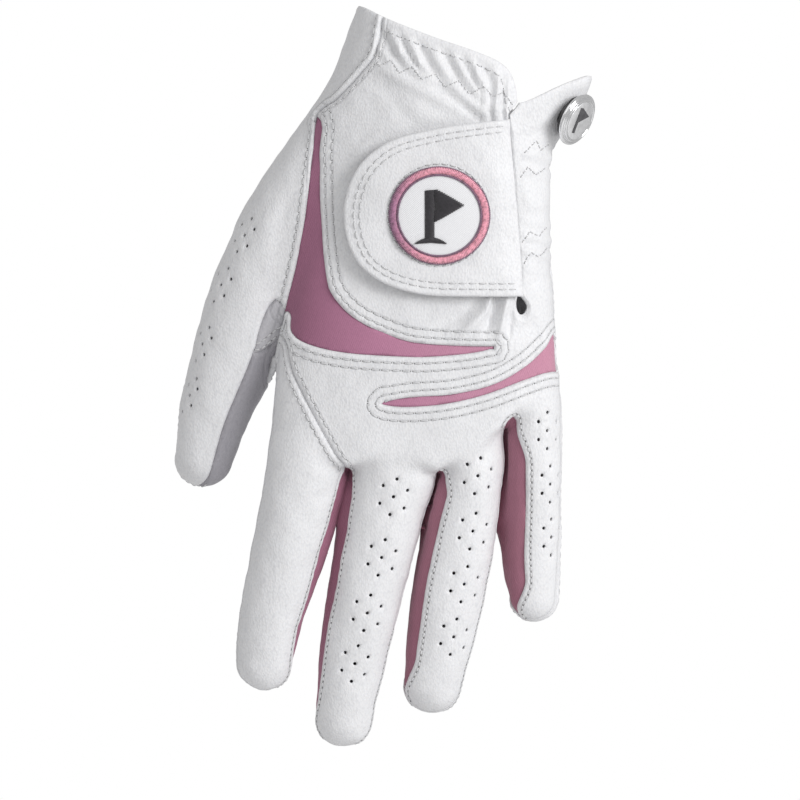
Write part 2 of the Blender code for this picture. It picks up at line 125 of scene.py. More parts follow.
def smooth_line(points, per_span=6, closed=False):
    """Catmull-Rom curve through a few points."""
    points = np.array(points, float)
    count = len(points)
    made = []
    for i in range(count if closed else count - 1):
        near = [i + k if closed else min(max(i + k, 0), count - 1) for k in (-1, 0, 1, 2)]
        p = [points[k % count] for k in near]
        for t in np.arange(per_span) / per_span:
            made.append(0.5 * (2 * p[1] + (p[2] - p[0]) * t + (2 * p[0] - 5 * p[1] + 4 * p[2] - p[3]) * t**2
                               + (3 * p[1] - p[0] - 3 * p[2] + p[3]) * t**3))
    if not closed:
        made.append(points[-1])
    return np.array(made)


class Digit:
    """A finger's or the thumb's centre line, with its half width and half depth along it."""

    def __init__(self, rows):
        rows = smooth_line(rows, 4)
        self.points, self.sizes = rows[:, :3], rows[:, 3:]
        steps = np.linalg.norm(np.diff(self.points, axis=0), axis=1)
        self.lengths = np.concatenate([[0], np.cumsum(steps)])
        self.total = self.lengths[-1]
        run = self.points[-1] - self.points[0]
        self.across = unit([-run[2], 0, run[0]])
        self.middle = self.total * MID_JOINT_SHARE

    def centre(self, s):
        inside = np.clip(s, 0, self.total)
        found = np.stack([np.interp(inside, self.lengths, self.points[:, k]) for k in range(3)], -1)
        ahead = np.asarray(s - inside)[..., None]
        return found + np.where(ahead > 0, unit(self.points[-1] - self.points[-2]),
                                unit(self.points[1] - self.points[0])) * ahead

    def size(self, s):
        shrink = 1 - 0.3 * smooth_step(-s, 0, ROOT_DEPTH)
        return [np.interp(s, self.lengths, self.sizes[:, k]) * shrink for k in range(2)]

    def along(self, s):
        s = np.clip(s, 0, self.total)
        return unit(self.centre(s + 4) - self.centre(s - 4))

    def local(self, p):
        """Length s, side u, back v and overrun w of each point, with the half sizes there."""
        best = np.full(len(p), 1e9)
        s = np.zeros(len(p))
        for a, b, start in zip(self.points, self.points[1:], self.lengths):
            run = b - a
            t = np.clip((p - a) @ run / (run @ run), -ROOT_DEPTH / np.linalg.norm(run) if start == 0 else 0, 1)
            gap = np.linalg.norm(p - a - t[:, None] * run, axis=1)
            near = gap < best
            best[near] = gap[near]
            s[near] = start + t[near] * np.linalg.norm(run)
        along = self.along(s)
        out = unit(self.across - along * (along @ self.across)[:, None])
        back = np.cross(out, along)
        back *= -np.sign(back[:, 1:2])
        rest = p - self.centre(s)
        half_width, half_depth = self.size(s)
        w = np.where((s <= -ROOT_DEPTH) | (s >= self.total), np.einsum("ij,ij->i", rest, along), 0)
        return s, np.einsum("ij,ij->i", rest, out), np.einsum("ij,ij->i", rest, back), w, half_width, half_depth

    def distance(self, p):
        _, u, v, w, a, b = self.local(p)
        level = np.sqrt((u / a) ** 2 + (v / b) ** 2 + (w / a) ** 2) + 1e-9
        slope = np.sqrt((u / a**2) ** 2 + (v / b**2) ** 2 + (w / a**2) ** 2) / level + 1e-9
        return (level - 1) / np.maximum(slope, 0.5 / a)

    def skin(self, s, angle):
        """A point on the skin: angle 0 is the back, +90 degrees the side towards +X."""
        along = self.along(s)
        out = unit(self.across - along * (along @ self.across))
        back = np.cross(out, along)
        back *= -np.sign(back[1])
        a, b = self.size(s)
        turn = math.radians(angle)
        return self.centre(np.float64(s)) + out * a * math.sin(turn) + back * b * math.cos(turn)


DIGIT = {name: Digit(rows) for name, rows in DIGITS.items()}
HAND = smooth_line(HAND_ROWS, 6)


def knuckle_height(p):
    """Where the palm ends, above the fingers' roots."""
    return np.interp(p[:, 0], *zip(*KNUCKLE_END))


def palm_distance(p):
    left, right, depth = (np.interp(p[:, 2], HAND[:, 0], HAND[:, k]) for k in (1, 2, 3))
    half = (right - left) / 2
    a = np.abs(p[:, 0] - (left + right) / 2) / half + 1e-6
    b = np.abs(p[:, 1]) / depth + 1e-6
    level = (a**ROUNDNESS + b**ROUNDNESS) ** (1 / ROUNDNESS)
    slope = level ** (1 - ROUNDNESS) * np.hypot(a ** (ROUNDNESS - 1) / half, b ** (ROUNDNESS - 1) / depth)
    side = (level - 1) / np.maximum(slope, 0.02)
    return -smooth_min(-side, p[:, 2] - knuckle_height(p), 4.0)


def field(p):
    """Roughly the distance to the skin, below zero inside."""
    found = palm_distance(p)
    fingers = np.full(len(p), 99.0)
    for name in ("thumb", *FINGERS):
        digit = DIGIT[name]
        low = (digit.points - digit.sizes[:, :1]).min(0) - 9
        high = (digit.points + digit.sizes[:, :1]).max(0) + 9
        near = np.all((p > low) & (p < high), axis=1)
        if name == "thumb":
            found[near] = smooth_min(found[near], digit.distance(p[near]), 7.0)
        else:
            fingers[near] = np.minimum(fingers[near], digit.distance(p[near]))
    return smooth_min(found, fingers, 3.0)


def gradient(p):
    step = 0.25
    found = np.empty_like(p)
    for k in range(3):
        move = np.zeros(3)
        move[k] = step
        found[:, k] = (field(p + move) - field(p - move)) / (2 * step)
    return found


def project(p):
    """Moves points onto the skin."""
    for _ in range(3):
        slope = gradient(p)
        size = np.maximum((slope**2).sum(1), 1e-3)
        move = (field(p) / size)[:, None] * slope
        length = np.linalg.norm(move, axis=1, keepdims=True)
        p = p - move * np.minimum(1, CELL / np.maximum(length, 1e-9))
    return p


def surface_net():
    """The whole skin as a triangle mesh with nearly even spacing, open at the wrist."""
    low, high = np.array([-84, -21, -197.0]), np.array([36, 27, 21.0])
    axes = [np.arange(a, b, CELL) for a, b in zip(low, high)]
    shape = tuple(len(a) for a in axes)
    grid = np.stack(np.meshgrid(*axes, indexing="ij"), -1).reshape(-1, 3)
    value = np.concatenate([field(part) for part in np.array_split(grid, 12)]).reshape(shape)
    total = np.zeros(tuple(n - 1 for n in shape) + (3,))
    count = np.zeros(tuple(n - 1 for n in shape))
    corners = [(i, j, k) for i in (0, 1) for j in (0, 1) for k in (0, 1)]

    def corner(c):
        return value[tuple(slice(c[a], shape[a] - 1 + c[a]) for a in range(3))]

    for a in corners:
        for axis in range(3):
            if a[axis]:
                continue
            b = tuple(1 if k == axis else a[k] for k in range(3))
            first, second = corner(a), corner(b)
            crossing = (first < 0) != (second < 0)
            share = np.where(crossing, first / np.where(crossing, first - second, 1), 0)
            for k in range(3):
                total[..., k] += np.where(crossing, a[k] + (share if k == axis else 0), 0)
            count += crossing
    used = count > 0
    index = np.full(used.shape, -1)
    index[used] = np.arange(used.sum())
    cells = np.argwhere(used)
    points = low + CELL * (cells + total[used] / count[used][:, None])
    quads = []
    for axis in range(3):
        b, c = [k for k in range(3) if k != axis]
        first = value[tuple(slice(0, -1) if k == axis else slice(1, -1) for k in range(3))]
        second = value[tuple(slice(1, None) if k == axis else slice(1, -1) for k in range(3))]
        flips = np.argwhere((first < 0) != (second < 0))
        inside = (first < 0)[tuple(flips.T)]
        at = flips + np.array([0 if k == axis else 1 for k in range(3)])
        ring = []
        for db, dc in ((0, 0), (1, 0), (1, 1), (0, 1)):
            cell = at.copy()
            cell[:, b] -= db
            cell[:, c] -= dc
            ring.append(index[tuple(cell.T)])
        quad = np.stack(ring, 1)
        turn = inside == (axis != 1)
        quad[~turn] = quad[~turn][:, ::-1]
        quads.append(quad)
    quads = np.concatenate(quads)
    return points, np.concatenate([quads[:, [0, 1, 2]], quads[:, [0, 2, 3]]])


# ---- cutting a triangle mesh along the zero line of a value -------------------------------------

def directed_edges(faces):
    return np.concatenate([faces[:, [0, 1]], faces[:, [1, 2]], faces[:, [2, 0]]])


def edges_of(faces):
    """Unique edges, and each face's three edge numbers (ab, bc, ca)."""
    unique, inverse = np.unique(np.sort(directed_edges(faces), axis=1), axis=0, return_inverse=True)
    return unique, inverse.reshape(3, -1).T


def insert_points(points, faces, edges, face_edges, wanted, share):
    """Puts a new point on each wanted edge, at its share of the way, and divides the faces there."""
    number = np.full(len(edges), -1)
    number[wanted] = len(points) + np.arange(wanted.sum())
    a, b = points[edges[wanted, 0]], points[edges[wanted, 1]]
    points = np.concatenate([points, a + (b - a) * share[wanted, None]])
    made = number[face_edges]
    hits = (made >= 0).sum(1)
    parts = [faces[hits == 0]]
    for turn in range(3):
        order = [turn, (turn + 1) % 3, (turn + 2) % 3]
        corner, new = faces[:, order], made[:, order]
        one = (hits == 1) & (new[:, 0] >= 0)
        (a, b, c), m = corner[one].T, new[one, 0]
        parts += [np.stack([a, m, c], 1), np.stack([m, b, c], 1)]
        two = (hits == 2) & (new[:, 0] < 0)
        (a, b, c), m, n = corner[two].T, new[two, 1], new[two, 2]
        parts += [np.stack([n, m, c], 1), np.stack([a, b, m], 1), np.stack([a, m, n], 1)]
    three = hits == 3
    (a, b, c), (m, n, o) = faces[three].T, made[three].T
    parts += [np.stack(t, 1) for t in ((a, m, o), (m, b, n), (o, n, c), (m, n, o))]
    return points, np.concatenate(parts)


SNAP = 0.22            # a corner this near to a cut, as a share of its edge, moves onto the cut


def cut_along(points, faces, value, allowed=None):
    """Cuts the mesh where value(points) changes sign. allowed(points) says where a cut may go."""
    may = np.ones(len(points), bool) if allowed is None else allowed(points)
    level = np.ones(len(points))
    level[may] = value(points[may])
    edges, face_edges = edges_of(faces)
    first, second = level[edges[:, 0]], level[edges[:, 1]]
    crossing = (first * second < 0) & may[edges[:, 0]] & may[edges[:, 1]]
    share = np.where(crossing, first / np.where(crossing, first - second, 1), 0.5)
    points = points.copy()
    start = points.copy()
    on_line = np.zeros(len(points), bool)
    closest = np.full(len(points), SNAP)
    for near, far, along in ((0, 1, share), (1, 0, 1 - share)):
        for e in np.flatnonzero(crossing & (along < SNAP)):
            v = edges[e, near]
            if along[e] < closest[v]:
                closest[v] = along[e]
                points[v] = start[v] + (start[edges[e, far]] - start[v]) * along[e]
                on_line[v] = True
    crossing &= ~(on_line[edges[:, 0]] | on_line[edges[:, 1]])
    return insert_points(points, faces, edges, face_edges, crossing, share)


def refine(points, faces, where, longest):
    """Halves the edges over a length whose ends both lie where the mask says."""
    edges, face_edges = edges_of(faces)
    length = np.linalg.norm(points[edges[:, 0]] - points[edges[:, 1]], axis=1)
    wanted = where[edges[:, 0]] & where[edges[:, 1]] & (length > longest)
    return insert_points(points, faces, edges, face_edges, wanted, np.full(len(edges), 0.5))


def vertex_normals(points, faces):
    across = np.cross(points[faces[:, 1]] - points[faces[:, 0]], points[faces[:, 2]] - points[faces[:, 0]])
    total = np.zeros_like(points)
    for k in range(3):
        np.add.at(total, faces[:, k], across)
    return total / np.maximum(np.linalg.norm(total, axis=1, keepdims=True), 1e-12)


def line_distance(p, line):
    """Distance in X and Z to an open line of (x, z) points, above zero on its left as the line runs."""
    x, z = p[:, 0], p[:, -1]
    best = np.full(len(x), 1e9)
    signed = np.zeros(len(x))
    line = np.array(line, float)
    for i, (a, b) in enumerate(zip(line, line[1:])):
        run = b - a
        t = ((x - a[0]) * run[0] + (z - a[1]) * run[1]) / (run @ run)
        low, high = (-1e9 if i == 0 else 0), (1e9 if i == len(line) - 2 else 1)
        t = np.clip(t, low, high)
        dx, dz = x - a[0] - t * run[0], z - a[1] - t * run[1]
        gap = np.hypot(dx, dz)
        near = gap < best
        best[near] = gap[near]
        side = run[0] * (z - a[1]) - run[1] * (x - a[0])
        signed[near] = np.where(side[near] > 0, gap[near], -gap[near])
    return signed


def outline_distance(p, outline):
    """Signed distance in X and Z to a closed outline, below zero inside."""
    x, z = p[:, 0], p[:, -1]
    outline = np.array(outline, float)
    best = np.full(len(x), 1e9)
    inside = np.zeros(len(x), bool)
    for a, b in zip(outline, np.roll(outline, -1, axis=0)):
        run = b - a
        t = np.clip(((x - a[0]) * run[0] + (z - a[1]) * run[1]) / (run @ run), 0, 1)
        best = np.minimum(best, np.hypot(x - a[0] - t * run[0], z - a[1] - t * run[1]))
        crosses = (a[1] > z) != (b[1] > z)
        height = b[1] - a[1] if b[1] != a[1] else 1e-9
        inside ^= crosses & (x < a[0] + (z - a[1]) * run[0] / height)
    return np.where(inside, -best, best)


# ---- where the glove's seams and edges run, as (x, z) -------------------------------------------

UPPER_WINDOW = smooth_line([
    (-60, -10.0), (-60, -70.0), (-47.6, -69.5), (-46.4, -75.4), (-41.5, -78.9), (-31, -81.4), (-15.4, -82.5),
    (-6.0, -82.5), (5.4, -81.4), (11.4, -79.7), (4.8, -79.6), (-7.2, -79.0), (-15.4, -77.6), (-26.9, -72.6),
    (-33.6, -66.3), (-36.2, -59.4), (-37.8, -42.3), (-38.2, -26), (-39.2, -14.2)], 5, closed=True)
LOWER_WINDOW = smooth_line([
    (-20.4, -95.6), (-13.4, -94.0), (-0.3, -93.0), (11.1, -90.2), (19.7, -85.4), (25.4, -80.2), (28.3, -75.8),
    (36, -68), (38, -86), (27.7, -86.6), (19.7, -89.0), (8.3, -93.2), (-3.2, -95.8), (-14.6, -96.6)],
    5, closed=True)
YOKE_SEAM = smooth_line([(-56, -74), (-48.4, -77.4), (-46, -86), (-40.6, -97.4), (-33.6, -110), (-30.6, -116),
                         (-35.2, -137), (-39.7, -160), (-43, -182)])
RADIAL_SEAM = smooth_line([
    (-19.5, 24), (-20.6, 11.3), (-22.3, 2.2), (-26.3, -2.8), (-33, -9.8), (-38.9, -14.6), (-40.2, -26),
    (-42.1, -42.3), (-44.6, -55.5), (-47.6, -67.3), (-49.0, -73), (-50.3, -78), (-53.5, -95), (-58, -125)])
THENAR_SEAM = smooth_line([
    (-20, 24), (-20, 8), (-16, -10), (-15.5, -30), (-21, -48), (-32, -63), (-43, -72), (-50.3, -78),
    (-53.5, -95), (-58, -125)])
GUSSET_HEM = [(-40, -71.0), (-48, -76), (-54, -80.8), (-58.5, -82.2), (-64, -84)]
GUSSET_TOP = smooth_line([
    (-59.5, -92), (-56.7, -82.5), (-55.5, -76.5), (-53.6, -70.8), (-51.6, -67.3), (-49.9, -66.7),
    (-48.3, -68.6), (-46.6, -73), (-45, -80)])
THUMB_SEAM_ANGLES = (-110, 24)
GUSSET_LAST_TURN = 112.0     # where the gusset ends, in degrees round the thumb
BACK_HEM = smooth_line([
    (-34, 20.5), (-26, 15.8), (-18.6, 11.9), (-6.5, 7.0), (5.6, 2.8), (12.6, -0.2), (15.9, -3.6), (17.3, -8.0),
    (17.9, -11.4), (22.5, -11.6), (26.9, -12.2), (40, -12)])
PALM_HEM = smooth_line([
    (-34, 20.5), (-26, 15.8), (-10, 6.5), (5, -3.5), (14, -9.5), (19, -13.2), (23, -13.6), (26.9, -12.2),
    (40, -13)])
TAB = smooth_line([(14.5, -16.2), (5, -17.4), (-6, -19.2), (-18.3, -22.8), (-26.6, -30.5), (-30.2, -42),
                   (-27.8, -54.2), (-20.6, -61.4), (-9, -65), (5, -65.6), (18.1, -65.6)], 8)
TAB_OUTLINE = np.concatenate([TAB, [(17.5, -56.0), (16.6, -44.0), (15.4, -30.0), (14.6, -20.0)]])
EMBLEM = (-4.6, -43.1)


def slit_x(z):
    x, heights = zip(*SLIT[::-1])
    return np.interp(z, heights, x)


def keyhole_value(p):
    """Distance from the teardrop at the slit's foot, below zero inside."""
    x, z = p[:, 0], p[:, 2]
    upper = smooth_step(z, SLIT_FOOT[1] - 3.6, SLIT_FOOT[1])
    wide, middle = 1.6 * (1 - 0.5 * upper), SLIT_FOOT[0] + 0.15 - 0.8 * upper
    return (np.hypot((x - middle) / wide, (z - SLIT_FOOT[1] + 2.8) / 2.9) - 1) * 1.4


def slit_value(p):
    """Below zero inside the opening slit and its keyhole."""
    x, z = p[:, 0], p[:, 2]
    from_foot = np.hypot(x - SLIT_FOOT[0], z - SLIT_FOOT[1])
    gap = np.where(z < SLIT_FOOT[1], from_foot, np.abs(line_distance(p, SLIT)))
    return np.minimum(gap - SLIT_HALF, keyhole_value(p))


# groups of seven perforations: digit, middle (x, z), column spacing
HOLE_GROUPS = [
    ("middle", -17.2, -121.8, 3.6), ("middle", -20.5, -138.9, 3.6), ("middle", -24.6, -154.5, 3.6),
    ("middle", -28.1, -168.9, 3.4), ("ring", 6.5, -115.9, 3.6), ("ring", 5.2, -131.5, 3.6),
    ("ring", 2.8, -146.5, 3.6), ("ring", -0.2, -161.4, 3.4), ("little", 26.2, -103.2, 2.6),
    ("little", 27.0, -118.3, 2.4), ("little", 27.4, -133.3, 2.2), ("thumb", -59.6, -48, 2.0),
    ("thumb", -66.2, -62, 2.0), ("thumb", -71.6, -78.7, 1.8), ("thumb", -75.4, -93.2, 1.6)]
HOLE_PITCH, HOLE_RADIUS, HOLE_REACH = 5.1, 0.5, 2.0


def surface_y(x, z):
    """Where a line along +Y first meets the skin at (x, z)."""
    start, stop = -24.0, 24.0
    low, high, found = np.full(len(x), start), np.full(len(x), stop), np.zeros(len(x), bool)
    for y in np.arange(start, stop, 1.0):
        inside = field(np.stack([x, np.full(len(x), y), z], 1)) < 0
        new = inside & ~found
        low[new], high[new] = y - 1.0, y
        found |= inside
    for _ in range(10):
        middle = (low + high) / 2
        inside = field(np.stack([x, middle, z], 1)) < 0
        high = np.where(inside, middle, high)
        low = np.where(inside, low, middle)
    return high


def hole_places():
    """The middle of each perforation, on the skin."""
    flat = []
    for name, x, z, spacing in HOLE_GROUPS:
        run = DIGIT[name].points[-1] - DIGIT[name].points[4]
        down = unit([run[0], run[2]])
        side = np.array([-down[1], down[0]])
        for column in (-1, 0, 1):
            for k in range(3 if column == 0 else 2):
                along = (k - (1 if column == 0 else 0.5)) * HOLE_PITCH
                flat.append(np.array([x, z]) + side * column * spacing + down * along)
    flat = np.array(flat)
    return np.stack([flat[:, 0], surface_y(flat[:, 0], flat[:, 1]), flat[:, 1]], 1)


def hole_value(p, holes):
    """Distance to the nearest perforation's edge, below zero inside, up to HOLE_REACH."""
    found = np.full(len(p), HOLE_REACH)
    for hole in holes:
        near = np.flatnonzero(np.abs(p - hole).max(1) < HOLE_REACH)
        found[near] = np.minimum(found[near], np.linalg.norm(p[near] - hole, axis=1) - HOLE_RADIUS)
    return found


def flared(p):
    """The ulnar corner of the cuff turns outward and up."""
    share = (smooth_step(p[:, 0], 17.5, 27.0) * smooth_step(p[:, 2], -29, -12) ** 1.5
             * (1 - smooth_step(p[:, 1], 0, 15)))
    return p + share[:, None] * np.array([11.8, 0, 8.9])


def finger_distances(p):
    return np.stack([DIGIT[name].distance(p) for name in FINGERS], 1)


def nearest_digit(p):
    """Each point's nearest finger, with its length from the root and its shares of the half width and depth.

    The length is below zero over the palm.
    """
    which = finger_distances(p).argmin(1)
    s, u, v = np.zeros(len(p)), np.zeros(len(p)), np.zeros(len(p))
    for k, name in enumerate(FINGERS):
        mine = which == k
        if mine.any():
            got = DIGIT[name].local(p[mine])
            s[mine] = got[0] + got[3]
            u[mine], v[mine] = got[1] / got[4], got[2] / got[5]
    return which, s, u, v


def parting(p):
    """Below zero on the back of the glove, above on its palm side."""
    heights = [-190, -168, -150, -132, -116, -100, 30]
    middle = np.interp(p[:, 2], heights, [6.4, 4.6, 3.2, 1.6, 0.2, 0, 0])
    return p[:, 1] - middle


def fourchette(p):
    """Below zero on the walls that face a neighbouring finger."""
    which, s, u, v = nearest_digit(p)
    total = np.array([DIGIT[name].total for name in FINGERS])[which]
    closing = smooth_step(s, total * 0.88, total + 7.5)
    turn = np.degrees(np.arctan2(np.abs(u), v))
    limits = np.array([SIDE_ANGLES[name] for name in FINGERS], float)[which]
    first = np.where(u < 0, limits[:, 0], limits[:, 1])
    roots = np.array([ROOT_ANGLES[name] for name in FINGERS], float)[which]
    first += (np.where(u < 0, roots[:, 0], roots[:, 1]) - first) * (1 - smooth_step(s, -2, 9))
    meeting = np.where(u < 0, np.array([89, 89, 82, 62])[which], 89)
    first += (meeting - first) * closing
    last = FRONT_ANGLE + (meeting + 2 - FRONT_ANGLE) * closing
    wall = np.maximum(first - turn, turn - last) * 0.15
    wall = np.maximum(wall, s - total - 6.0)
    outer = ((which == 0) & (u < 0)) | ((which == 3) & (u > 0))
    return np.where(outer, 9.0, np.maximum(wall, p[:, 2] - knuckle_height(p) - 2.0))


def fourchette_height(p):
    """How far the fabric between two fingers stands over the skin: it fills the fork and then draws apart."""
    which, _, u, v = nearest_digit(p)
    distance = finger_distances(p)
    base = -0.35
    found = np.full(len(p), base)
    for k, name in enumerate(FINGERS):
        for side, wall in zip((-1, 1), WALLS[name]):
            if wall is None:
                continue
            share, fullest, limits = wall
            mine = (which == k) & (u * side > 0)
            heights, most = zip(*limits[::-1])
            lift = np.minimum(distance[mine, k + side] * share, np.interp(p[mine, 2], heights, most))
            middle = fullest + (-0.12 - fullest) * smooth_step(p[mine, 2], -133, -127)
            full = np.exp(-(((v[mine] - middle) / 0.38) ** 2))
            found[mine] = base + np.maximum(lift - base, 0) * full
    return found


def thumb_turn(p):
    """The angle round the thumb, from its back towards +X, and the length along it."""
    s, u, v, w, a, b = DIGIT["thumb"].local(p)
    return np.degrees(np.arctan2(u / a, v / b)), s + w


def past_hem(p):
    """Above zero beyond the cuff's edge."""
    return np.where(p[:, 1] < 0, line_distance(p, BACK_HEM), line_distance(p, PALM_HEM))


def in_thumb(p):
    """Below zero on the thumb's leather."""
    back = -line_distance(p, RADIAL_SEAM[::-1])
    palm = -line_distance(p, THENAR_SEAM[::-1])
    return np.where(p[:, 1] < 2.0, back, palm)


def gusset_value(p):
    turn, _ = thumb_turn(p)
    hem, top = (line_distance(p, line) for line in (GUSSET_HEM, GUSSET_TOP))
    return np.maximum.reduce([hem, top, (turn - GUSSET_LAST_TURN) * 0.2, -20 - turn])


REGIONS = ("back", "yoke", "palm", "upper_insert", "lower_insert", "fourchette", "thumb_back", "thumb_front",
           "gusset", "outside")
THUMB_REGIONS = ("thumb_back", "thumb_front", "gusset")
LEATHER_REGIONS = ("back", "yoke", "palm", "thumb_back", "thumb_front", "gusset")


def region_of(p, holes):
    """The region number of each point."""
    name = {n: i for i, n in enumerate(REGIONS)}
    back = parting(p) < 0
    found = np.where(back, name["back"], name["palm"])
    found[back & (line_distance(p, YOKE_SEAM) < 0)] = name["yoke"]
    found[back & (outline_distance(p, UPPER_WINDOW) < 0)] = name["upper_insert"]
    found[back & (outline_distance(p, LOWER_WINDOW) < 0)] = name["lower_insert"]
    found[fourchette(p) < 0] = name["fourchette"]
    thumb = in_thumb(p) < 0
    turn, _ = thumb_turn(p)
    low, high = THUMB_SEAM_ANGLES
    above = (line_distance(p, GUSSET_HEM) < 0) & back
    on_thumb_back = (turn > low) & (turn < high) | above
    found[thumb] = np.where(on_thumb_back, name["thumb_back"], name["thumb_front"])[thumb]
    found[thumb & (gusset_value(p) < 0)] = name["gusset"]
    found[(past_hem(p) > 0) & (p[:, 2] > -20)] = name["outside"]
    found[(p[:, 1] < 0) & (slit_value(p) < 0)] = name["outside"]
    found[hole_value(p, holes) < 0] = name["outside"]
    return found


# ---- the skin, cut along every seam -------------------------------------------------------------

def build_skin():
    """Points, faces and each face's region. Every seam and edge of the glove is a chain of mesh edges."""
    points, faces = surface_net()
    points = project(points)

    def beside(line):
        return lambda p: line_distance(p, line)

    def within(outline):
        return lambda p: outline_distance(p, outline)

    def turned_past(angle):
        return lambda p: thumb_turn(p)[0] - angle

    def on_back(p):
        return parting(p) < 1.0

    # a value whose zero line is cut, and where the cut may go
    cuts = [
        (parting, lambda p: p[:, 0] > -62),
        (beside(YOKE_SEAM), on_back),
        (within(UPPER_WINDOW), on_back),
        (within(LOWER_WINDOW), on_back),
        (fourchette, lambda p: p[:, 2] < -95),
        (beside(RADIAL_SEAM), lambda p: p[:, 1] < 3.0),
        (beside(THENAR_SEAM), lambda p: p[:, 1] > 1.0),
        (turned_past(THUMB_SEAM_ANGLES[1]), lambda p: (p[:, 0] < -44) & (p[:, 2] < -76)),
        (beside(GUSSET_TOP), lambda p: (p[:, 0] < -42) & (np.abs(p[:, 2] + 74) < 12)),
        (turned_past(GUSSET_LAST_TURN),
         lambda p: (p[:, 1] > 2) & (np.abs(p[:, 2] + 71) < 15) & (p[:, 0] < -40)),
        (turned_past(THUMB_SEAM_ANGLES[0]), lambda p: p[:, 0] < -24),
        (beside(GUSSET_HEM), lambda p: (p[:, 0] < -45) & (p[:, 2] < -60)),
        (beside(BACK_HEM), lambda p: p[:, 1] < 1.0),
        (beside(PALM_HEM), lambda p: p[:, 1] > -1.0),
    ]
    for value, allowed in cuts:
        points, faces = cut_along(points, faces, value, allowed)

    def by_slit(p):
        return (p[:, 1] < 0) & (np.abs(p[:, 0] - slit_x(p[:, 2])) < 2.6) & (p[:, 2] > SLIT_FOOT[1] - 8)

    # the openings are small, so the mesh is made finer round them
    for longest in (0.6, 0.3):
        points, faces = refine(points, faces, by_slit(points), longest)
    points, faces = cut_along(points, faces, slit_value, by_slit)
    holes = hole_places()
    for longest in (0.55, 0.3):
        points, faces = refine(points, faces, hole_value(points, holes) < 0.7, longest)

    def holed(p):
        return hole_value(p, holes)

    points, faces = cut_along(points, faces, holed, lambda p: holed(p) < 1.5)
    return points, faces, region_of(points[faces].mean(1), holes)


# ---- distances over the skin, and lines of equal distance ---------------------------------------

def border_edges(faces, region, first, second):
    """Edges between a region of the first set and one of the second, as pairs of points."""
    edges, face_edges = edges_of(faces)
    one = np.isin(region, [REGIONS.index(n) for n in first])
    two = np.isin(region, [REGIONS.index(n) for n in second])
    has_one, has_two = np.zeros(len(edges), bool), np.zeros(len(edges), bool)
    has_one[face_edges[one].ravel()] = True
    has_two[face_edges[two].ravel()] = True
    return edges[has_one & has_two]


def distance_to(points, borders, reach):
    """Each point's distance to a set of edges, up to a reach."""
    found = np.full(len(points), reach)
    if not len(borders):
        return found
    a, b = points[borders[:, 0]], points[borders[:, 1]]
    marks = np.concatenate([a, b, (a + b) / 2, a * 0.75 + b * 0.25, a * 0.25 + b * 0.75])
    tree = KDTree(len(marks))
    for i, mark in enumerate(marks):
        tree.insert(mark, i)
    tree.balance()
    low, high = marks.min(0) - reach, marks.max(0) + reach
    for i in np.flatnonzero(np.all((points > low) & (points < high), axis=1)):
        found[i] = min(reach, tree.find(points[i])[2])
    return found


def level_lines(points, faces, level, value):
    """Chains of points where level, a number at each point, passes a value."""
    rest = level - value + 1e-7
    crossing = (rest[faces] > 0).sum(1) % 3 != 0
    faces = faces[crossing]
    ends = {}
    places = {}
    for face in faces:
        keys = []
        for a, b in ((face[0], face[1]), (face[1], face[2]), (face[2], face[0])):
            if (rest[a] > 0) == (rest[b] > 0):
                continue
            key = (min(a, b), max(a, b))
            if key not in places:
                share = rest[a] / (rest[a] - rest[b])
                places[key] = points[a] + (points[b] - points[a]) * share
            keys.append(key)
        ends.setdefault(keys[0], []).append(keys[1])
        ends.setdefault(keys[1], []).append(keys[0])
    seen, chains = set(), []
    starts = sorted(ends, key=lambda key: (len(ends[key]), key))
    for start in starts:
        if start in seen:
            continue
        chain = [start]
        seen.add(start)
        while True:
            ahead = [key for key in ends[chain[-1]] if key not in seen]
            if not ahead:
                break
            chain.append(ahead[0])
            seen.add(ahead[0])
        if len(chain) > 5:
            line = np.array([places[key] for key in chain])
            if chain[0] in ends[chain[-1]] and len(chain) > 8:
                line = np.concatenate([line, line[:1]])
            chains.append(line)
    return chains


def evened(line, pitch):
    """A chain with even steps of about a pitch, after a little smoothing."""
    line = line.copy()
    for _ in range(3):
        line[1:-1] = (line[:-2] + 2 * line[1:-1] + line[2:]) / 4
    length = np.concatenate([[0], np.cumsum(np.linalg.norm(np.diff(line[:, :3], axis=0), axis=1))])
    count = int(length[-1] / pitch)
    if count < 2:
        return line[:0]
    marks = np.linspace(0, length[-1], count + 1)
    return np.stack([np.interp(marks, length, column) for column in line.T], -1)


# ---- materials ----------------------------------------------------------------------------------

def add(tree, kind, settings=None, **inputs):
    """A node with its settings and inputs. An input is a value or a (node, output) pair; i2 names input 2."""
    node = tree.nodes.new(kind)
    for key, value in (settings or {}).items():
        setattr(node, key, value)
    for key, value in inputs.items():
        numbered = key[0] == "i" and key[1:].isdigit()
        socket = node.inputs[int(key[1:]) if numbered else key.replace("_", " ")]
        if isinstance(value, tuple) and isinstance(value[0], bpy.types.Node):
            tree.links.new(value[0].outputs[value[1]], socket)
        else:
            socket.default_value = value
    return node


def shaded(colour, factor):
    return tuple(min(1, c * factor) for c in colour)


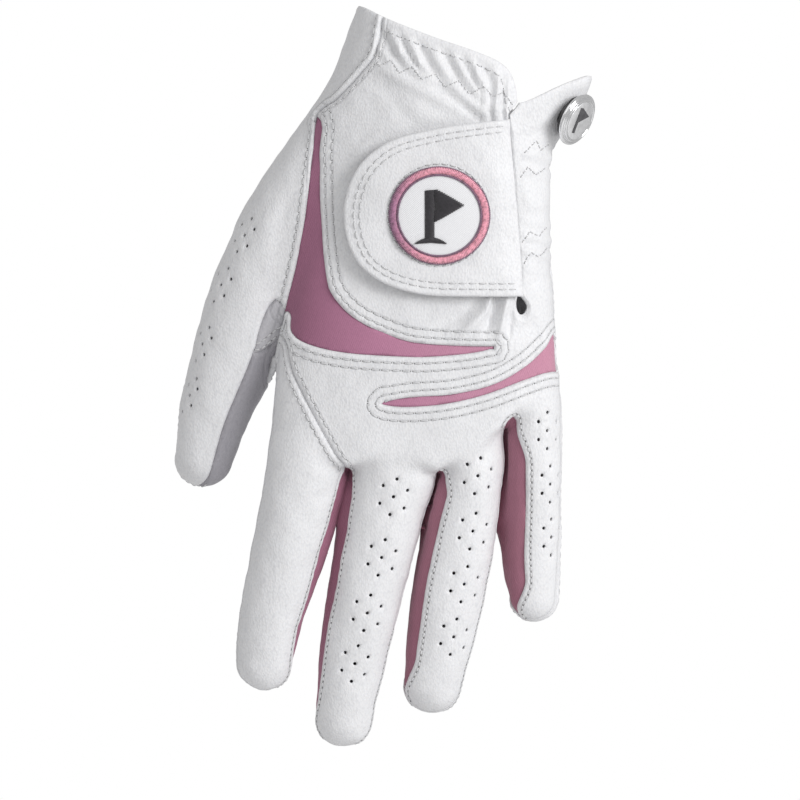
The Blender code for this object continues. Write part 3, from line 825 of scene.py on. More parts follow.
class Look:
    """A material in the making. Its methods return what a node gives as a (node, output) pair."""

    def __init__(self, name, roughness, metallic=0.0, **settings):
        self.material = bpy.data.materials.new(name)
        self.material.use_nodes = True
        self.tree = self.material.node_tree
        self.shader = self.tree.nodes["Principled BSDF"]
        self.relief = None
        for key, value in {"Roughness": roughness, "Metallic": metallic, **settings}.items():
            self.shader.inputs[key.replace("_", " ")].default_value = value

    @functools.cached_property
    def place(self):
        return add(self.tree, "ShaderNodeTexCoord"), "Object"

    def link(self, pair, socket):
        self.tree.links.new(pair[0].outputs[pair[1]], self.shader.inputs[socket])

    def turned(self, rotation, scale=(1.0, 1.0, 1.0)):
        return add(self.tree, "ShaderNodeMapping", Vector=self.place, Rotation=rotation, Scale=scale), "Vector"

    def noise(self, scale, detail=2.0, roughness=0.5, place=None):
        return add(self.tree, "ShaderNodeTexNoise", Vector=place or self.place, Scale=scale, Detail=detail,
                   Roughness=roughness), "Fac"

    def wave(self, direction, scale, distortion=0.0, detail=2.0, place=None):
        return add(self.tree, "ShaderNodeTexWave", {"bands_direction": direction}, Vector=place or self.place,
                   Scale=scale, Distortion=distortion, Detail=detail), "Fac"

    def cells(self, scale, settings=None, place=None, **inputs):
        return add(self.tree, "ShaderNodeTexVoronoi", settings, Vector=place or self.place, Scale=scale,
                   **inputs), "Distance"

    def math(self, operation, *values):
        inputs = {f"i{k}": value for k, value in enumerate(values)}
        return add(self.tree, "ShaderNodeMath", {"operation": operation}, **inputs), "Value"

    def ramp(self, factor, *stops):
        node = add(self.tree, "ShaderNodeValToRGB", Fac=factor)
        while len(node.color_ramp.elements) < len(stops):
            node.color_ramp.elements.new(0.5)
        for element, (place, colour) in zip(node.color_ramp.elements, stops):
            element.position = place
            element.color = (*colour, 1)
        return node, "Color"

    def across(self, low, high):
        """From 0 to 1 between two places along X, in metres."""
        split = add(self.tree, "ShaderNodeSeparateXYZ", Vector=self.place)
        return add(self.tree, "ShaderNodeMapRange", Value=(split, "X"), From_Min=low, From_Max=high), "Result"

    def multiplied(self, first, second):
        return add(self.tree, "ShaderNodeMix", {"data_type": "RGBA", "blend_type": "MULTIPLY"}, Factor=1.0,
                   i6=first, i7=second), 2

    def stored(self, name):
        return add(self.tree, "ShaderNodeAttribute", {"attribute_name": name}), "Fac"

    def seam_relief(self, name, stops):
        """A height from 0 to 1 that follows a stored distance to a seam, in stops of (millimetres, height)."""
        return self.ramp(self.stored(name), *((mm / SEAM_REACH, (high, high, high)) for mm, high in stops))

    def roughen(self, pattern, low, high):
        self.link((add(self.tree, "ShaderNodeMapRange", Value=pattern, To_Min=low, To_Max=high), "Result"),
                  "Roughness")

    def bump(self, height, strength, distance):
        """Relief on top of the relief that is there already."""
        node = add(self.tree, "ShaderNodeBump", Strength=strength, Distance=distance, Height=height)
        if self.relief:
            self.tree.links.new(self.relief.outputs["Normal"], node.inputs["Normal"])
        self.relief = node
        self.link((node, "Normal"), "Normal")

    def finished(self, colour):
        self.link(colour, "Base Color")
        return self.material


WHITE = (1.0, 1.0, 1.0)
SINGLE_ROW = [(0.0, 0.25), (0.7, 1.0), (1.3, 0.95), (1.8, 0.1), (2.3, 0.95), (3.2, 1.0)]
DOUBLE_ROW = [*SINGLE_ROW[:-1], (3.4, 0.95), (4.0, 0.1), (4.6, 1.0)]


def leather_material(name="glove_leather", tint=(0.80, 0.80, 0.815), grain=1.0, relief=True, crook=None):
    """Soft white leather: fine pebbled grain, faint mottling, pulled-in stitch lines darkened with painted shade,
    a little sheen.

    The last argument is the colour of painted shade that the leather takes on the thumb's inner side, where the
    hand shades it.
    """
    look = Look(name, 0.52, Sheen_Weight=0.08, Subsurface_Weight=0.06,
                Subsurface_Radius=(0.002, 0.0018, 0.0016))
    stretch = look.turned((0.3, 0.5, 0.62), (1.0, 1.0, 0.62))
    cells = look.cells(1900.0, {"feature": "SMOOTH_F1"}, stretch, Smoothness=0.6)
    fine = look.noise(2600.0, 3.0, place=stretch)
    broad = look.noise(95.0, 3.0, 0.55)
    mottle = look.ramp(broad, (0.3, shaded(tint, 0.955)), (0.62, tint), (0.85, shaded(tint, 1.02)))
    pits = look.ramp(cells, (0.0, WHITE), (0.45, (0.98, 0.98, 0.98)), (0.9, (0.88, 0.88, 0.89)))
    colour = look.multiplied(mottle, pits)
    look.roughen(fine, 0.44, 0.62)
    look.bump(broad, 0.35, 0.0006)
    if relief:
        rows = look.math("MULTIPLY", look.seam_relief("seam_single", SINGLE_ROW),
                         look.seam_relief("seam_double", DOUBLE_ROW))
        look.bump(rows, 0.7, 0.0003)
        # painted shade: the leather's colour darkens in the stitch grooves as well as their bump
        colour = look.multiplied(colour, look.ramp(rows, (0.0, (0.84, 0.84, 0.85)), (0.6, WHITE)))
    # painted shade: the leather darkens by the stored amount on the thumb's inner side, towards the hand
    if crook:
        colour = look.multiplied(colour, look.ramp(look.stored("crook"), (0.0, WHITE), (1.0, crook)))
    look.bump(look.math("MULTIPLY_ADD", fine, 0.5, cells), min(1, 0.55 * grain), 0.0002)
    return look.finished(colour)


def knit_material(name, painted_shades):
    """Matt stretch knit, its own pink with painted shade: darker on the thumb's side, lighter towards the little
    finger's, where the light falls.
    """
    look = Look(name, 0.85, Sheen_Weight=0.25, Sheen_Roughness=0.4)
    # painted shade along X: darker on the thumb's side, lighter towards the little finger's
    painted_side_shade = look.ramp(look.across(-0.045, 0.028), *((k / (len(painted_shades) - 1), c) for k, c in enumerate(painted_shades)))
    turned = look.turned((0, 0.35, 0))
    loops = look.math("MULTIPLY", look.wave("X", 620.0, 0.8, 1.0, turned),
                      look.wave("Z", 900.0, 0.6, 1.0, turned))
    height = look.math("MULTIPLY_ADD", look.noise(1400.0, 4.0), 0.6, loops)
    look.bump(height, 0.5, 0.00018)
    return look.finished(look.multiplied(painted_side_shade, look.ramp(height, (0.1, (0.80, 0.78, 0.80)), (0.8, WHITE))))


def thread_material():
    """Sewing thread: a fine twist along it."""
    look, colour = Look("sewing_thread", 0.6, Sheen_Weight=0.2), (0.72, 0.72, 0.73)
    ply = look.wave("DIAGONAL", 3200.0, 1.5, 1.0)
    look.bump(ply, 0.4, 0.00008)
    return look.finished(look.ramp(ply, (0.0, shaded(colour, 0.82)), (1.0, colour)))


def shadow_material():
    """Painted shade: a flat dark colour that stands for the shadow inside a needle hole or a perforation."""
    look = Look("hole_shadow", 0.95)
    return look.finished(look.ramp(look.noise(900.0), (0.3, (0.11, 0.105, 0.105)), (0.8, (0.27, 0.26, 0.26))))


def satin_material(name, colour, roughness=0.42, far=None):
    """Embroidery thread: lustrous, with fine strands. far is its colour at the emblem's thumb side."""
    look = Look(name, roughness, Sheen_Weight=0.3, Anisotropic=0.4)
    strands = look.noise(3600.0)
    mixed = look.math("MULTIPLY_ADD", strands, 0.5, look.noise(1300.0))
    shown = look.ramp(mixed, (0.5, shaded(colour, 0.5)), (0.78, colour), (1.0, shaded(colour, 1.25)))
    if far:
        shown = look.multiplied(shown, look.ramp(look.across(-0.0185, -0.009), (0.0, far), (1.0, WHITE)))
    look.bump(strands, 0.35, 0.00006)
    return look.finished(shown)


def twill_material():
    """The emblem's white ground: a fine diagonal twill."""
    look = Look("emblem_twill_cloth", 0.75)
    turned = look.turned((0, math.radians(38), 0))
    weave = look.math("MULTIPLY_ADD", look.wave("Z", 1700.0, place=turned), 0.35,
                      look.wave("X", 850.0, 0.4, 1.0, turned))
    look.bump(weave, 0.5, 0.00012)
    return look.finished(look.ramp(weave, (0.1, (0.70, 0.70, 0.72)), (0.9, (0.88, 0.88, 0.90))))


def metal_material(name, colour, roughness, grain=0.12):
    """Polished or satin metal with faint handling marks."""
    look = Look(name, roughness, 1.0)
    marks = look.noise(700.0, 5.0, 0.7)
    look.roughen(marks, roughness * 0.7, roughness * 1.5)
    look.bump(marks, grain, 0.00003)
    return look.finished(look.ramp(marks, (0.35, shaded(colour, 0.86)), (0.7, colour)))


def enamel_material():
    """Dark soft enamel, slightly uneven."""
    look = Look("dark_enamel", 0.35, Coat_Weight=0.4)
    cloud = look.noise(900.0, 3.0)
    look.bump(cloud, 0.15, 0.00005)
    return look.finished(look.ramp(cloud, (0.3, (0.035, 0.034, 0.038)), (0.8, (0.085, 0.083, 0.09))))


def pile_material(name, colour, scale):
    """Hook or loop pile: a tangle of short fibres."""
    look = Look(name, 0.95, Sheen_Weight=0.4)
    tufts = look.cells(scale, Randomness=0.8)
    high = look.math("MULTIPLY_ADD", look.noise(scale * 2.2, 4.0), 0.8, tufts)
    look.bump(high, 0.8, 0.0004)
    return look.finished(look.ramp(high, (0.2, shaded(colour, 1.05)), (1.0, shaded(colour, 0.6))))


def elastic_material():
    """Ribbed white elastic."""
    look = Look("ribbed_elastic", 0.85)
    rib = look.wave("DIAGONAL", 260.0, 0.5)
    look.bump(rib, 0.6, 0.0004)
    return look.finished(look.ramp(rib, (0.0, (0.55, 0.55, 0.56)), (1.0, (0.80, 0.80, 0.80))))


@functools.cache
def material_of(name):
    return {
        "leather": leather_material,
        # the thumb's inner leather, with painted shade where it faces the hand
        "inner_leather_painted_shade": lambda: leather_material("inner_thumb_leather_painted_shade", crook=(0.47, 0.455, 0.485)),
        "smooth_leather": lambda: leather_material("tab_leather", relief=False),
        "suede": lambda: leather_material("leather_flesh_side", (0.70, 0.70, 0.69), 1.6, relief=False),
        # painted shade: the inserts' knit darker towards the thumb's side, lighter towards the little finger's
        "knit": lambda: knit_material("stretch_knit", [
            (0.34, 0.135, 0.22), (0.52, 0.225, 0.35), (0.60, 0.28, 0.40), (0.60, 0.28, 0.385)]),
        # the finger walls' own pink knit, darkened with painted shade for the shade between the fingers
        "wall_knit_painted_shade": lambda: knit_material("finger_wall_knit_painted_shade", [
            (0.40, 0.165, 0.25), (0.38, 0.155, 0.215), (0.40, 0.165, 0.23)]),
        "thread": thread_material,
        "hole": shadow_material,
        "pink_satin": lambda: satin_material("pink_satin", (0.82, 0.36, 0.45), far=(0.42, 0.43, 0.62)),
        "mauve_satin": lambda: satin_material("mauve_satin", (0.22, 0.12, 0.19)),
        "black_satin": lambda: satin_material("black_satin", (0.022, 0.019, 0.024), 0.5),
        "twill": twill_material,
        "chrome": lambda: metal_material("polished_chrome", (0.93, 0.93, 0.94), 0.16, 0.05),
        "brushed": lambda: metal_material("satin_steel", (0.95, 0.95, 0.96), 0.42, 0.1),
        "gunmetal": lambda: metal_material("dark_snap", (0.09, 0.088, 0.09), 0.35),
        "enamel": enamel_material,
        "loop": lambda: pile_material("loop_pile", (0.62, 0.62, 0.63), 1500.0),
        "hook": lambda: pile_material("hook_pile", (0.70, 0.70, 0.71), 1100.0),
        "elastic": elastic_material,
    }[name]()


# ---- making pieces ------------------------------------------------------------------------------

def link(name, data):
    made = bpy.data.objects.new(name, data)
    bpy.context.scene.collection.objects.link(made)
    return made


def make_piece(name, points, faces, normals, finish, slot, stored=None):
    """A mesh piece from millimetre points, with vertex normals and stored numbers when they are given."""
    mesh = bpy.data.meshes.new(name)
    mesh.from_pydata((np.asarray(points) * MM).tolist(), [], [list(map(int, f)) for f in faces])
    mesh.shade_smooth()
    if normals is not None:
        mesh.normals_split_custom_set_from_vertices(unit(normals).tolist())
    for key, values in (stored or {}).items():
        mesh.attributes.new(key, "FLOAT", "POINT").data.foreach_set("value", np.asarray(values, np.float32))
    mesh.materials.append(material_of(finish))
    piece = link(name, mesh)
    return piece


def ride_body(piece, body, nodes=()):
    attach(piece, body)
    if nodes:
        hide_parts(*nodes)


def tube_faces(rings, sides):
    """Quads between rings of points that follow each other."""
    return [(i * sides + k, i * sides + (k + 1) % sides, (i + 1) * sides + (k + 1) % sides, (i + 1) * sides + k)
            for i in range(rings - 1) for k in range(sides)]


BODY_OF_SEGMENT = {"hand": ("hand", None), "thumb_tip": ("hand", "thumb_tip")}
for finger in FINGERS:
    BODY_OF_SEGMENT[f"{finger}_root"] = ("hand", f"{finger}_root")
    BODY_OF_SEGMENT[f"{finger}_tip"] = (f"{finger}_root", f"{finger}_tip")
SEGMENTS = tuple(BODY_OF_SEGMENT)
THUMB_BEND = DIGIT["thumb"].lengths[4 * THUMB_HINGE]


def segment_of(p, thumb):
    """The segment number of each point: which joint, if any, bends the glove there. thumb marks its points."""
    which, s, _, _ = nearest_digit(p)
    found = np.zeros(len(p), int)
    for k, name in enumerate(FINGERS):
        mine = (which == k) & (s > -6) & ~thumb
        tip = s > DIGIT[name].middle * 0.5
        found[mine & ~tip] = SEGMENTS.index(f"{name}_root")
        found[mine & tip] = SEGMENTS.index(f"{name}_tip")
    _, along = thumb_turn(p)
    found[thumb & (along > THUMB_BEND - 10)] = SEGMENTS.index("thumb_tip")
    return found


def move_with(piece, segment):
    """Rides a piece of the hand's own segment on the hand; a piece of any other segment only has its transform
    baked in.
    """
    near, far = BODY_OF_SEGMENT[segment]
    if far is None:
        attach(piece, near)
        return
    name = segment.split("_")[0]
    digit = DIGIT[name]
    if segment.endswith("_root"):
        span = (0.8, digit.middle * 0.5 - 1.0)
    elif name == "thumb":
        span = (THUMB_BEND - 8.0, THUMB_BEND + 8.0)
    else:
        span = (digit.middle - 8.0, digit.middle + 8.0)
    start, end = (digit.centre(np.float64(s)) * MM for s in span)
    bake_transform(piece)


def border_frame(points, faces, normals):
    """The open edges of some faces, in order, and at each of their points the direction away from the faces."""
    directed = directed_edges(faces)
    _, first, count = np.unique(np.sort(directed, axis=1), axis=0, return_index=True, return_counts=True)
    rim = directed[first[count == 1]]
    away = np.zeros_like(points)
    side = np.cross(points[rim[:, 1]] - points[rim[:, 0]], normals[rim[:, 0]])
    np.add.at(away, rim[:, 0], side)
    np.add.at(away, rim[:, 1], side)
    return rim, away / np.maximum(np.linalg.norm(away, axis=1, keepdims=True), 1e-9)


def make_panel(name, skin, chosen, outer, inner, finish, slot, stands_for):
    """A panel with thickness from the chosen faces of the skin, cut into one piece for each segment.

    outer and inner are heights over the skin at each point. Where two segments meet, the pieces share their
    points and normals, so the panel looks whole. stands_for maps a segment to the CAD nodes it replaces.
    """
    points, normals, segments = skin["points"], skin["normals"], skin["segment"]
    faces = skin["faces"][chosen]
    rim, away = border_frame(points, faces, normals)
    top = points + normals * outer[:, None]
    shading = vertex_normals(top, faces)
    edge = np.zeros(len(points), bool)
    edge[rim.ravel()] = True
    shading[edge] = unit(shading[edge] + 0.9 * away[edge])
    bottom = points + normals * inner[:, None]
    lower_shading = -vertex_normals(bottom, faces)
    lower_shading[edge] = unit(lower_shading[edge] + 0.9 * away[edge])
    rim_set = {tuple(sorted(e)) for e in rim.tolist()}
    face_segment = segments[chosen]
    for number in np.unique(face_segment):
        part = faces[face_segment == number]
        used, local = np.unique(part, return_inverse=True)
        local = local.reshape(part.shape)
        count = len(used)
        place = {v: i for i, v in enumerate(used.tolist())}
        walls = [(place[b], place[a], place[a] + count, place[b] + count)
                 for a, b in directed_edges(part).tolist() if (min(a, b), max(a, b)) in rim_set]
        all_faces = [*local.tolist(), *(local[:, ::-1] + count).tolist(), *walls]
        segment = SEGMENTS[number]
        stored = {key: np.concatenate([values[used], np.ones(count)]) for key, values in skin["stored"].items()}
        piece = make_piece(f"{name}_{segment}", np.concatenate([top[used], bottom[used]]), all_faces,
                           np.concatenate([shading[used], lower_shading[used]]), finish, slot, stored)
        move_with(piece, segment)
        nodes = stands_for.get(segment, ())
        if nodes:
            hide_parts(*nodes)


# ---- the whole glove ----------------------------------------------------------------------------

def noise(p, size, seed):
    """Smooth noise of about unit height with a given feature size."""
    source, waves = np.random.default_rng(seed), 18
    direction = unit(source.normal(size=(waves, 3)))
    direction = direction * (2 * math.pi / (size * source.uniform(1.2, 3.2, (waves, 1))))
    phase = source.uniform(0, 2 * math.pi, waves)
    return np.sin(p @ direction.T + phase).sum(1) / math.sqrt(waves)


# folds pressed or pulled into the leather: (x, z) line, height, half width
FOLDS = [
    # fanning out from the keyhole
    ([(15.0, -65.0), (13.6, -70), (12.2, -78)], 1.7, 1.1), ([(12.0, -63.0), (10.9, -68.8), (8.8, -76)], -1.9, 0.9),
    ([(10.3, -65.0), (8.2, -70), (1.5, -76.5)], 1.3, 1.3), ([(7, -65.5), (2.5, -70.5), (-5, -75)], -0.7, 1.4),
    ([(17, -73.5), (14.5, -79), (12, -85)], 0.5, 1.4), ([(15.9, -68), (15.4, -73), (15.2, -79)], -0.7, 0.9),
    # between the cuff and the tab
    ([(-23.5, 0.5), (-16.3, -4.5), (-6.9, -9.4), (1.5, -14.5)], 0.8, 1.5),
    ([(-6.4, -5.6), (1, -11.5), (8.5, -17.5)], -0.9, 1.0), ([(-4.5, -5), (3.5, -11), (10.5, -16.5)], 0.8, 1.3),
    ([(-12.4, -1.5), (-3.1, -8.5), (4, -14.5)], 0.6, 1.2), ([(3, -6.5), (8.5, -11), (13.5, -16)], 0.7, 1.2),
    ([(-26, -4), (-19, -9), (-12, -17)], -0.45, 2.0),
    # on the strip beyond the slit, and across the back
    ([(21.5, -69), (24.5, -74), (26, -80)], 0.4, 1.4), ([(20.5, -63), (25, -60), (28, -58)], -0.4, 1.3),
    ([(19.5, -38), (23, -40), (27, -39)], 0.5, 2.0), ([(19, -19), (25, -17.5), (32, -15.5)], 0.5, 1.3),
    ([(19.5, -21.5), (25, -20), (31, -19)], -0.45, 1.2), ([(-45, -34), (-49, -44), (-51, -56)], -0.5, 2.6),
    ([(-30, -28), (-20, -20), (-8, -15)], 0.35, 2.2), ([(-26, -6), (-14, -13), (2, -18)], 0.3, 2.0)]
CUFF_ZIGZAG = [
    (-22.5, 2.2), (-21.2, -1.4), (-17.8, 0.3), (-15.5, -3.3), (-12.0, -1.6), (-9.3, -5.1), (-5.6, -3.6),
    (-2.8, -7.3), (1.0, -5.5), (4.0, -9.3), (7.9, -7.1), (10.7, -9.8), (13.5, -8.6), (16.2, -12.2)]
STRIP_ZIGZAGS = [
    [(19.3, -25.4), (22.0, -22.7), (23.6, -24.9), (26.2, -23.4)],
    [(18.4, -32.2), (20.2, -29.4), (22.6, -31.4), (26.2, -28.9)],
    [(18.9, -50.4), (20.9, -47.4), (23.5, -48.7), (26.2, -45.7)],
    [(19.4, -56.4), (21.2, -53.2), (23.2, -54.4), (26.2, -51.9)]]
HEM_ROW, SEAM_ROW, SECOND_ROW = 3.4, 1.8, 4.0      # stitch rows, from the edge that they follow
PALM_THREAD, WALL_THREAD, ZIGZAG_THREAD = 0.14, 0.25, 0.17


def cuff_gathers(p):
    """Puckers that the wrist elastic pulls into the leather under the cuff's hem."""
    below = -line_distance(p, BACK_HEM)
    along = (p[:, 0] * 0.92 - p[:, 2] * 0.39) - 1.1 * below - 0.1 * np.maximum(below - 7, 0) ** 2
    folds = np.sin(2 * math.pi * along / 6.3 + 0.8 * np.sin(along * 0.37 + 1.0)) * 0.9
    ripple = folds * smooth_step(below, 1.2, 5.0) * (1 - smooth_step(below, 7.5, 14.0))
    reach = smooth_step(p[:, 0], -24, -17) * (1 - smooth_step(p[:, 0], 13, 17)) * (p[:, 1] < -2)
    strip = (smooth_step(p[:, 0], 18, 20) * (p[:, 1] < 6)
             * (np.exp(-((p[:, 2] + 27.5) / 5.0) ** 2) + np.exp(-((p[:, 2] + 51) / 5.5) ** 2)))
    return ripple * reach + 0.38 * np.sin(2 * math.pi * p[:, 2] / 4.6 + 0.25 * p[:, 0]) * strip


def fold_height(p):
    found = np.zeros(len(p))
    for line, height, width in FOLDS:
        ends = np.array(line, float)
        gap = np.abs(line_distance(p, line))
        run = ends[-1] - ends[0]
        share = ((p[:, 0] - ends[0, 0]) * run[0] + (p[:, 2] - ends[0, 1]) * run[1]) / (run @ run)
        fade = smooth_step(share, -0.15, 0.25) * (1 - smooth_step(share, 0.7, 1.15))
        found += height * np.exp(-((gap / width) ** 2)) * fade * (p[:, 1] < 0)
    return found


def prepare_skin():
    """The cut skin, with each point's distances to the seams around it and the leather's height over it."""
    rest, faces, region = build_skin()
    points = flared(rest)
    centres = rest[faces].mean(1)
    skin = {"rest": rest, "points": points, "faces": faces, "region": region,
            "segment": segment_of(centres, np.isin(region, [REGIONS.index(n) for n in THUMB_REGIONS]))}
    skin["normals"] = vertex_normals(points, faces)

    def near(first, second, reach=SEAM_REACH):
        return distance_to(points, border_edges(faces, region, first, second), reach)

    hand_leather = ("back", "yoke", "palm")
    windows = near(("back", "yoke"), ("upper_insert", "lower_insert"))
    walls = near(hand_leather, ("fourchette",))
    yoke_seam = near(("back",), ("yoke",))
    joins = np.minimum(yoke_seam, near(("back", "yoke"), ("palm",)))
    thumb = near(hand_leather, THUMB_REGIONS)
    thumb_open = near(("thumb_back",), ("upper_insert",))
    thumb_inner = np.minimum(near(("thumb_back",), ("thumb_front", "gusset")),
                             near(("thumb_front",), ("gusset",)))
    gap = near(LEATHER_REGIONS, ("outside",), 3.0)
    skin.update(windows=windows, walls=walls, joins=joins, yoke_seam=yoke_seam, hem=-past_hem(rest),
                thumb=thumb, thumb_open=thumb_open, thumb_inner=thumb_inner)
    turn, _ = thumb_turn(rest)
    # painted shade: how far the thumb's inner side, facing the hand, is darkened; a little less on the gusset
    crook = np.where(turn > 0, 1 - smooth_step(turn, 70, 150), 0) * (1 - 0.3 * (gusset_value(rest) < 0.2))
    skin["stored"] = {"seam_single": np.minimum.reduce([walls, joins, thumb, thumb_open]) / SEAM_REACH,
                      "seam_double": windows / SEAM_REACH, "crook": crook}
    to_fabric = np.minimum.reduce([windows, walls, thumb_open])
    outer = 0.16 * noise(rest, 7.0, 3) + 0.07 * noise(rest, 2.6, 5)
    outer += cuff_gathers(rest) + fold_height(rest)
    outer -= 0.28 * np.exp(-(np.minimum(to_fabric, gap) / 0.4) ** 2)
    outer += 0.16 * np.exp(-((to_fabric - 1.0) / 0.6) ** 2)
    turned = np.minimum.reduce([joins, thumb, thumb_inner])
    outer -= 0.5 * np.exp(-(turned / 0.5) ** 2)
    outer += 0.22 * np.exp(-((turned - 1.1) / 0.7) ** 2)
    welt = np.isin(np.arange(len(rest)), np.unique(faces[region == REGIONS.index("thumb_back")]))
    outer += 0.45 * np.exp(-((thumb - 1.1) / 0.8) ** 2) * welt * (rest[:, 1] < 2)
    keyhole = keyhole_value(rest)
    outer += 0.5 * np.exp(-((keyhole - 0.9) / 0.6) ** 2) * (rest[:, 1] < 0)
    skin["outer"] = outer
    return skin


def build_panels(skin):
    rest, region, outer = skin["rest"], skin["region"], skin["outer"]
    inner = np.minimum(outer, 0) - LEATHER

    def chosen(name):
        return region == REGIONS.index(name)

    def walls(*kinds):
        return {s: [f"{s}_{k}" for k in kinds if f"{s}_{k}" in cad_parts] for s in SEGMENTS}

    def kept(nodes, *words, wanted=True):
        return {s: n for s, n in nodes.items() if any(word in s for word in words) == wanted}

    back, front = walls("back"), walls("front")
    for name, finish, nodes in (
            ("back", "leather", {**kept(back, "index", "thumb", wanted=False),
                                 "hand": ["back_panel", "cuff_corner"]}),
            ("yoke", "leather", {**kept(back, "index"), "hand": ["index_yoke_panel"]}),
            ("palm", "leather", {**kept(front, "thumb", wanted=False), "hand": ["palm_panel"]}),
            ("thumb_back", "leather", {"hand": ["thumb_base_back"], "thumb_tip": ["thumb_tip_back"]}),
            ("thumb_front", "inner_leather_painted_shade", {"hand": ["thumb_base_front"], "thumb_tip": ["thumb_tip_front"]})):
        make_panel(f"{name}_leather", skin, chosen(name), outer, inner, finish, "leather", nodes)
    make_panel("thumb_gusset", skin, chosen("gusset"), outer, inner, "inner_leather_painted_shade", "leather", {})
    # between the fingers the fabric rises from the leather's edge
    raised = (fourchette_height(rest) + FABRIC_SINK) * smooth_step(skin["walls"], 0.2, 3.0)
    crumple = 0.06 * noise(rest, 4.0, 9)
    for part, finish, lift, nodes in (
            ("upper_insert", "knit", 0, {"hand": ["upper_stretch_insert"]}),
            ("lower_insert", "knit", 0, {"hand": ["lower_stretch_insert"]}),
            ("fourchette", "wall_knit_painted_shade", raised, walls("ulnar_fourchette", "radial_fourchette"))):
        height = -FABRIC_SINK + lift + crumple
        make_panel(part, skin, chosen(part), height, height - FABRIC, finish, "stretch", nodes)


# ---- sewing -------------------------------------------------------------------------------------

class Sewing:
    """Collects stitches, and makes one piece of thread and one of painted-shade needle-hole dots for each segment.
    """

    def __init__(self):
        self.rows = []

    def row(self, line, quarters=3, thumb=False, radius=0.2):
        """line: points and their normals, six numbers each, four steps to a stitch and the gap after it."""
        start, end = line[:-quarters:4], line[quarters::4]
        start = start[:len(end)]
        if len(start):
            self.rows.append(np.concatenate([start, end, np.full((len(start), 2), (float(thumb), radius))], 1))

    def build(self):
        rows = np.concatenate(self.rows)
        a, b = rows[:, :3], rows[:, 6:9]
        segment = segment_of((a + b) / 2, rows[:, 12] > 0.5)
        for number in np.unique(segment):
            mine = segment == number
            normal = unit(rows[mine, 3:6] + rows[mine, 9:12])
            move = SEGMENTS[number]
            threads = thread_mesh(a[mine], b[mine], normal, rows[mine, 13])
            move_with(make_piece(f"stitches_{move}", *threads, None, "thread", "thread"), move)
            # painted shade: flat dark dots where the needle holes are
            dots = dot_mesh(np.concatenate([a[mine], b[mine]]), np.concatenate([normal, normal]),
                            np.tile(rows[mine, 13], 2))
            move_with(make_piece(f"needle_hole_painted_shade_{move}", *dots, None, "hole", "thread"), move)


def thread_mesh(a, b, normal, radius, rise=0.14, sides=6):
    """Short arched threads from a to b, sunk at both ends."""
    along = unit(b - a)
    side = unit(np.cross(normal, along))
    radius = np.broadcast_to(radius, len(a))
    stations = [(0.0, -0.10, 0.55), (0.16, 0.5, 1.0), (0.5, 1.0, 1.06), (0.84, 0.5, 1.0), (1.0, -0.10, 0.55)]
    points = []
    for share, high, wide in stations:
        centre = a + (b - a) * share + normal * (high * rise)
        for k in range(sides):
            turn = 2 * math.pi * k / sides
            points.append(centre + (normal * math.cos(turn) + side * math.sin(turn)) * (radius * wide)[:, None])
    points = np.stack(points, 1).reshape(-1, 3)
    count = len(stations) * sides
    quads = tube_faces(len(stations), sides)
    faces = [tuple(n * count + v for v in quad) for n in range(len(a)) for quad in quads]
    faces += [tuple(n * count + v for v in cap) for n in range(len(a))
              for cap in (range(sides - 1, -1, -1), range(count - sides, count))]
    return points, faces


def dot_mesh(places, normal, radius, lift=0.035, sides=7):
    """Small flat dots that lie just over a surface."""
    side = unit(np.cross(normal, [0.3, 0.2, 0.93]))
    other = np.cross(normal, side)
    radius = np.broadcast_to(radius, len(places))
    ring = [places + normal * lift + (side * math.cos(2 * math.pi * k / sides)
                                      + other * math.sin(2 * math.pi * k / sides)) * radius[:, None]
            for k in range(sides)]
    points = np.stack(ring, 1).reshape(-1, 3)
    return points, [tuple(range(n * sides, (n + 1) * sides)) for n in range(len(places))]


def surface_rows(skin, regions, distance, value, keep=None):
    """Chains over the leather's outside where a distance passes a value, as points with their normals."""
    faces = skin["faces"][np.isin(skin["region"], [REGIONS.index(n) for n in regions])]
    top = skin["points"] + skin["normals"] * skin["outer"][:, None]
    if keep is not None:
        good = keep(skin["rest"])
        faces = faces[good[faces].all(1)]
    return level_lines(np.concatenate([top, skin["normals"]], 1), faces, distance, value)


def drawn_line(skin, line, pitch):
    """A line given in (x, z) laid on the leather's outside, with its normals."""
    line = np.array(line, float)
    length = np.concatenate([[0], np.cumsum(np.linalg.norm(np.diff(line, axis=0), axis=1))])
    marks = np.linspace(0, length[-1], max(2, int(round(length[-1] / pitch)) + 1))
    x, z = (np.interp(marks, length, line[:, k]) for k in range(2))
    place = np.stack([x, surface_y(x, z), z], 1)
    found = []
    tree = skin["tree"]
    for p in place:
        near = np.array([hit[1] for hit in tree.find_n(p, 4)])
        weight = 1 / (np.linalg.norm(skin["rest"][near] - p, axis=1) + 0.05)
        weight /= weight.sum()
        move = skin["points"][near] - skin["rest"][near] + skin["normals"][near] * skin["outer"][near][:, None]
        found.append(np.concatenate([p + weight @ move, unit(weight @ skin["normals"][near])]))
    return np.array(found)


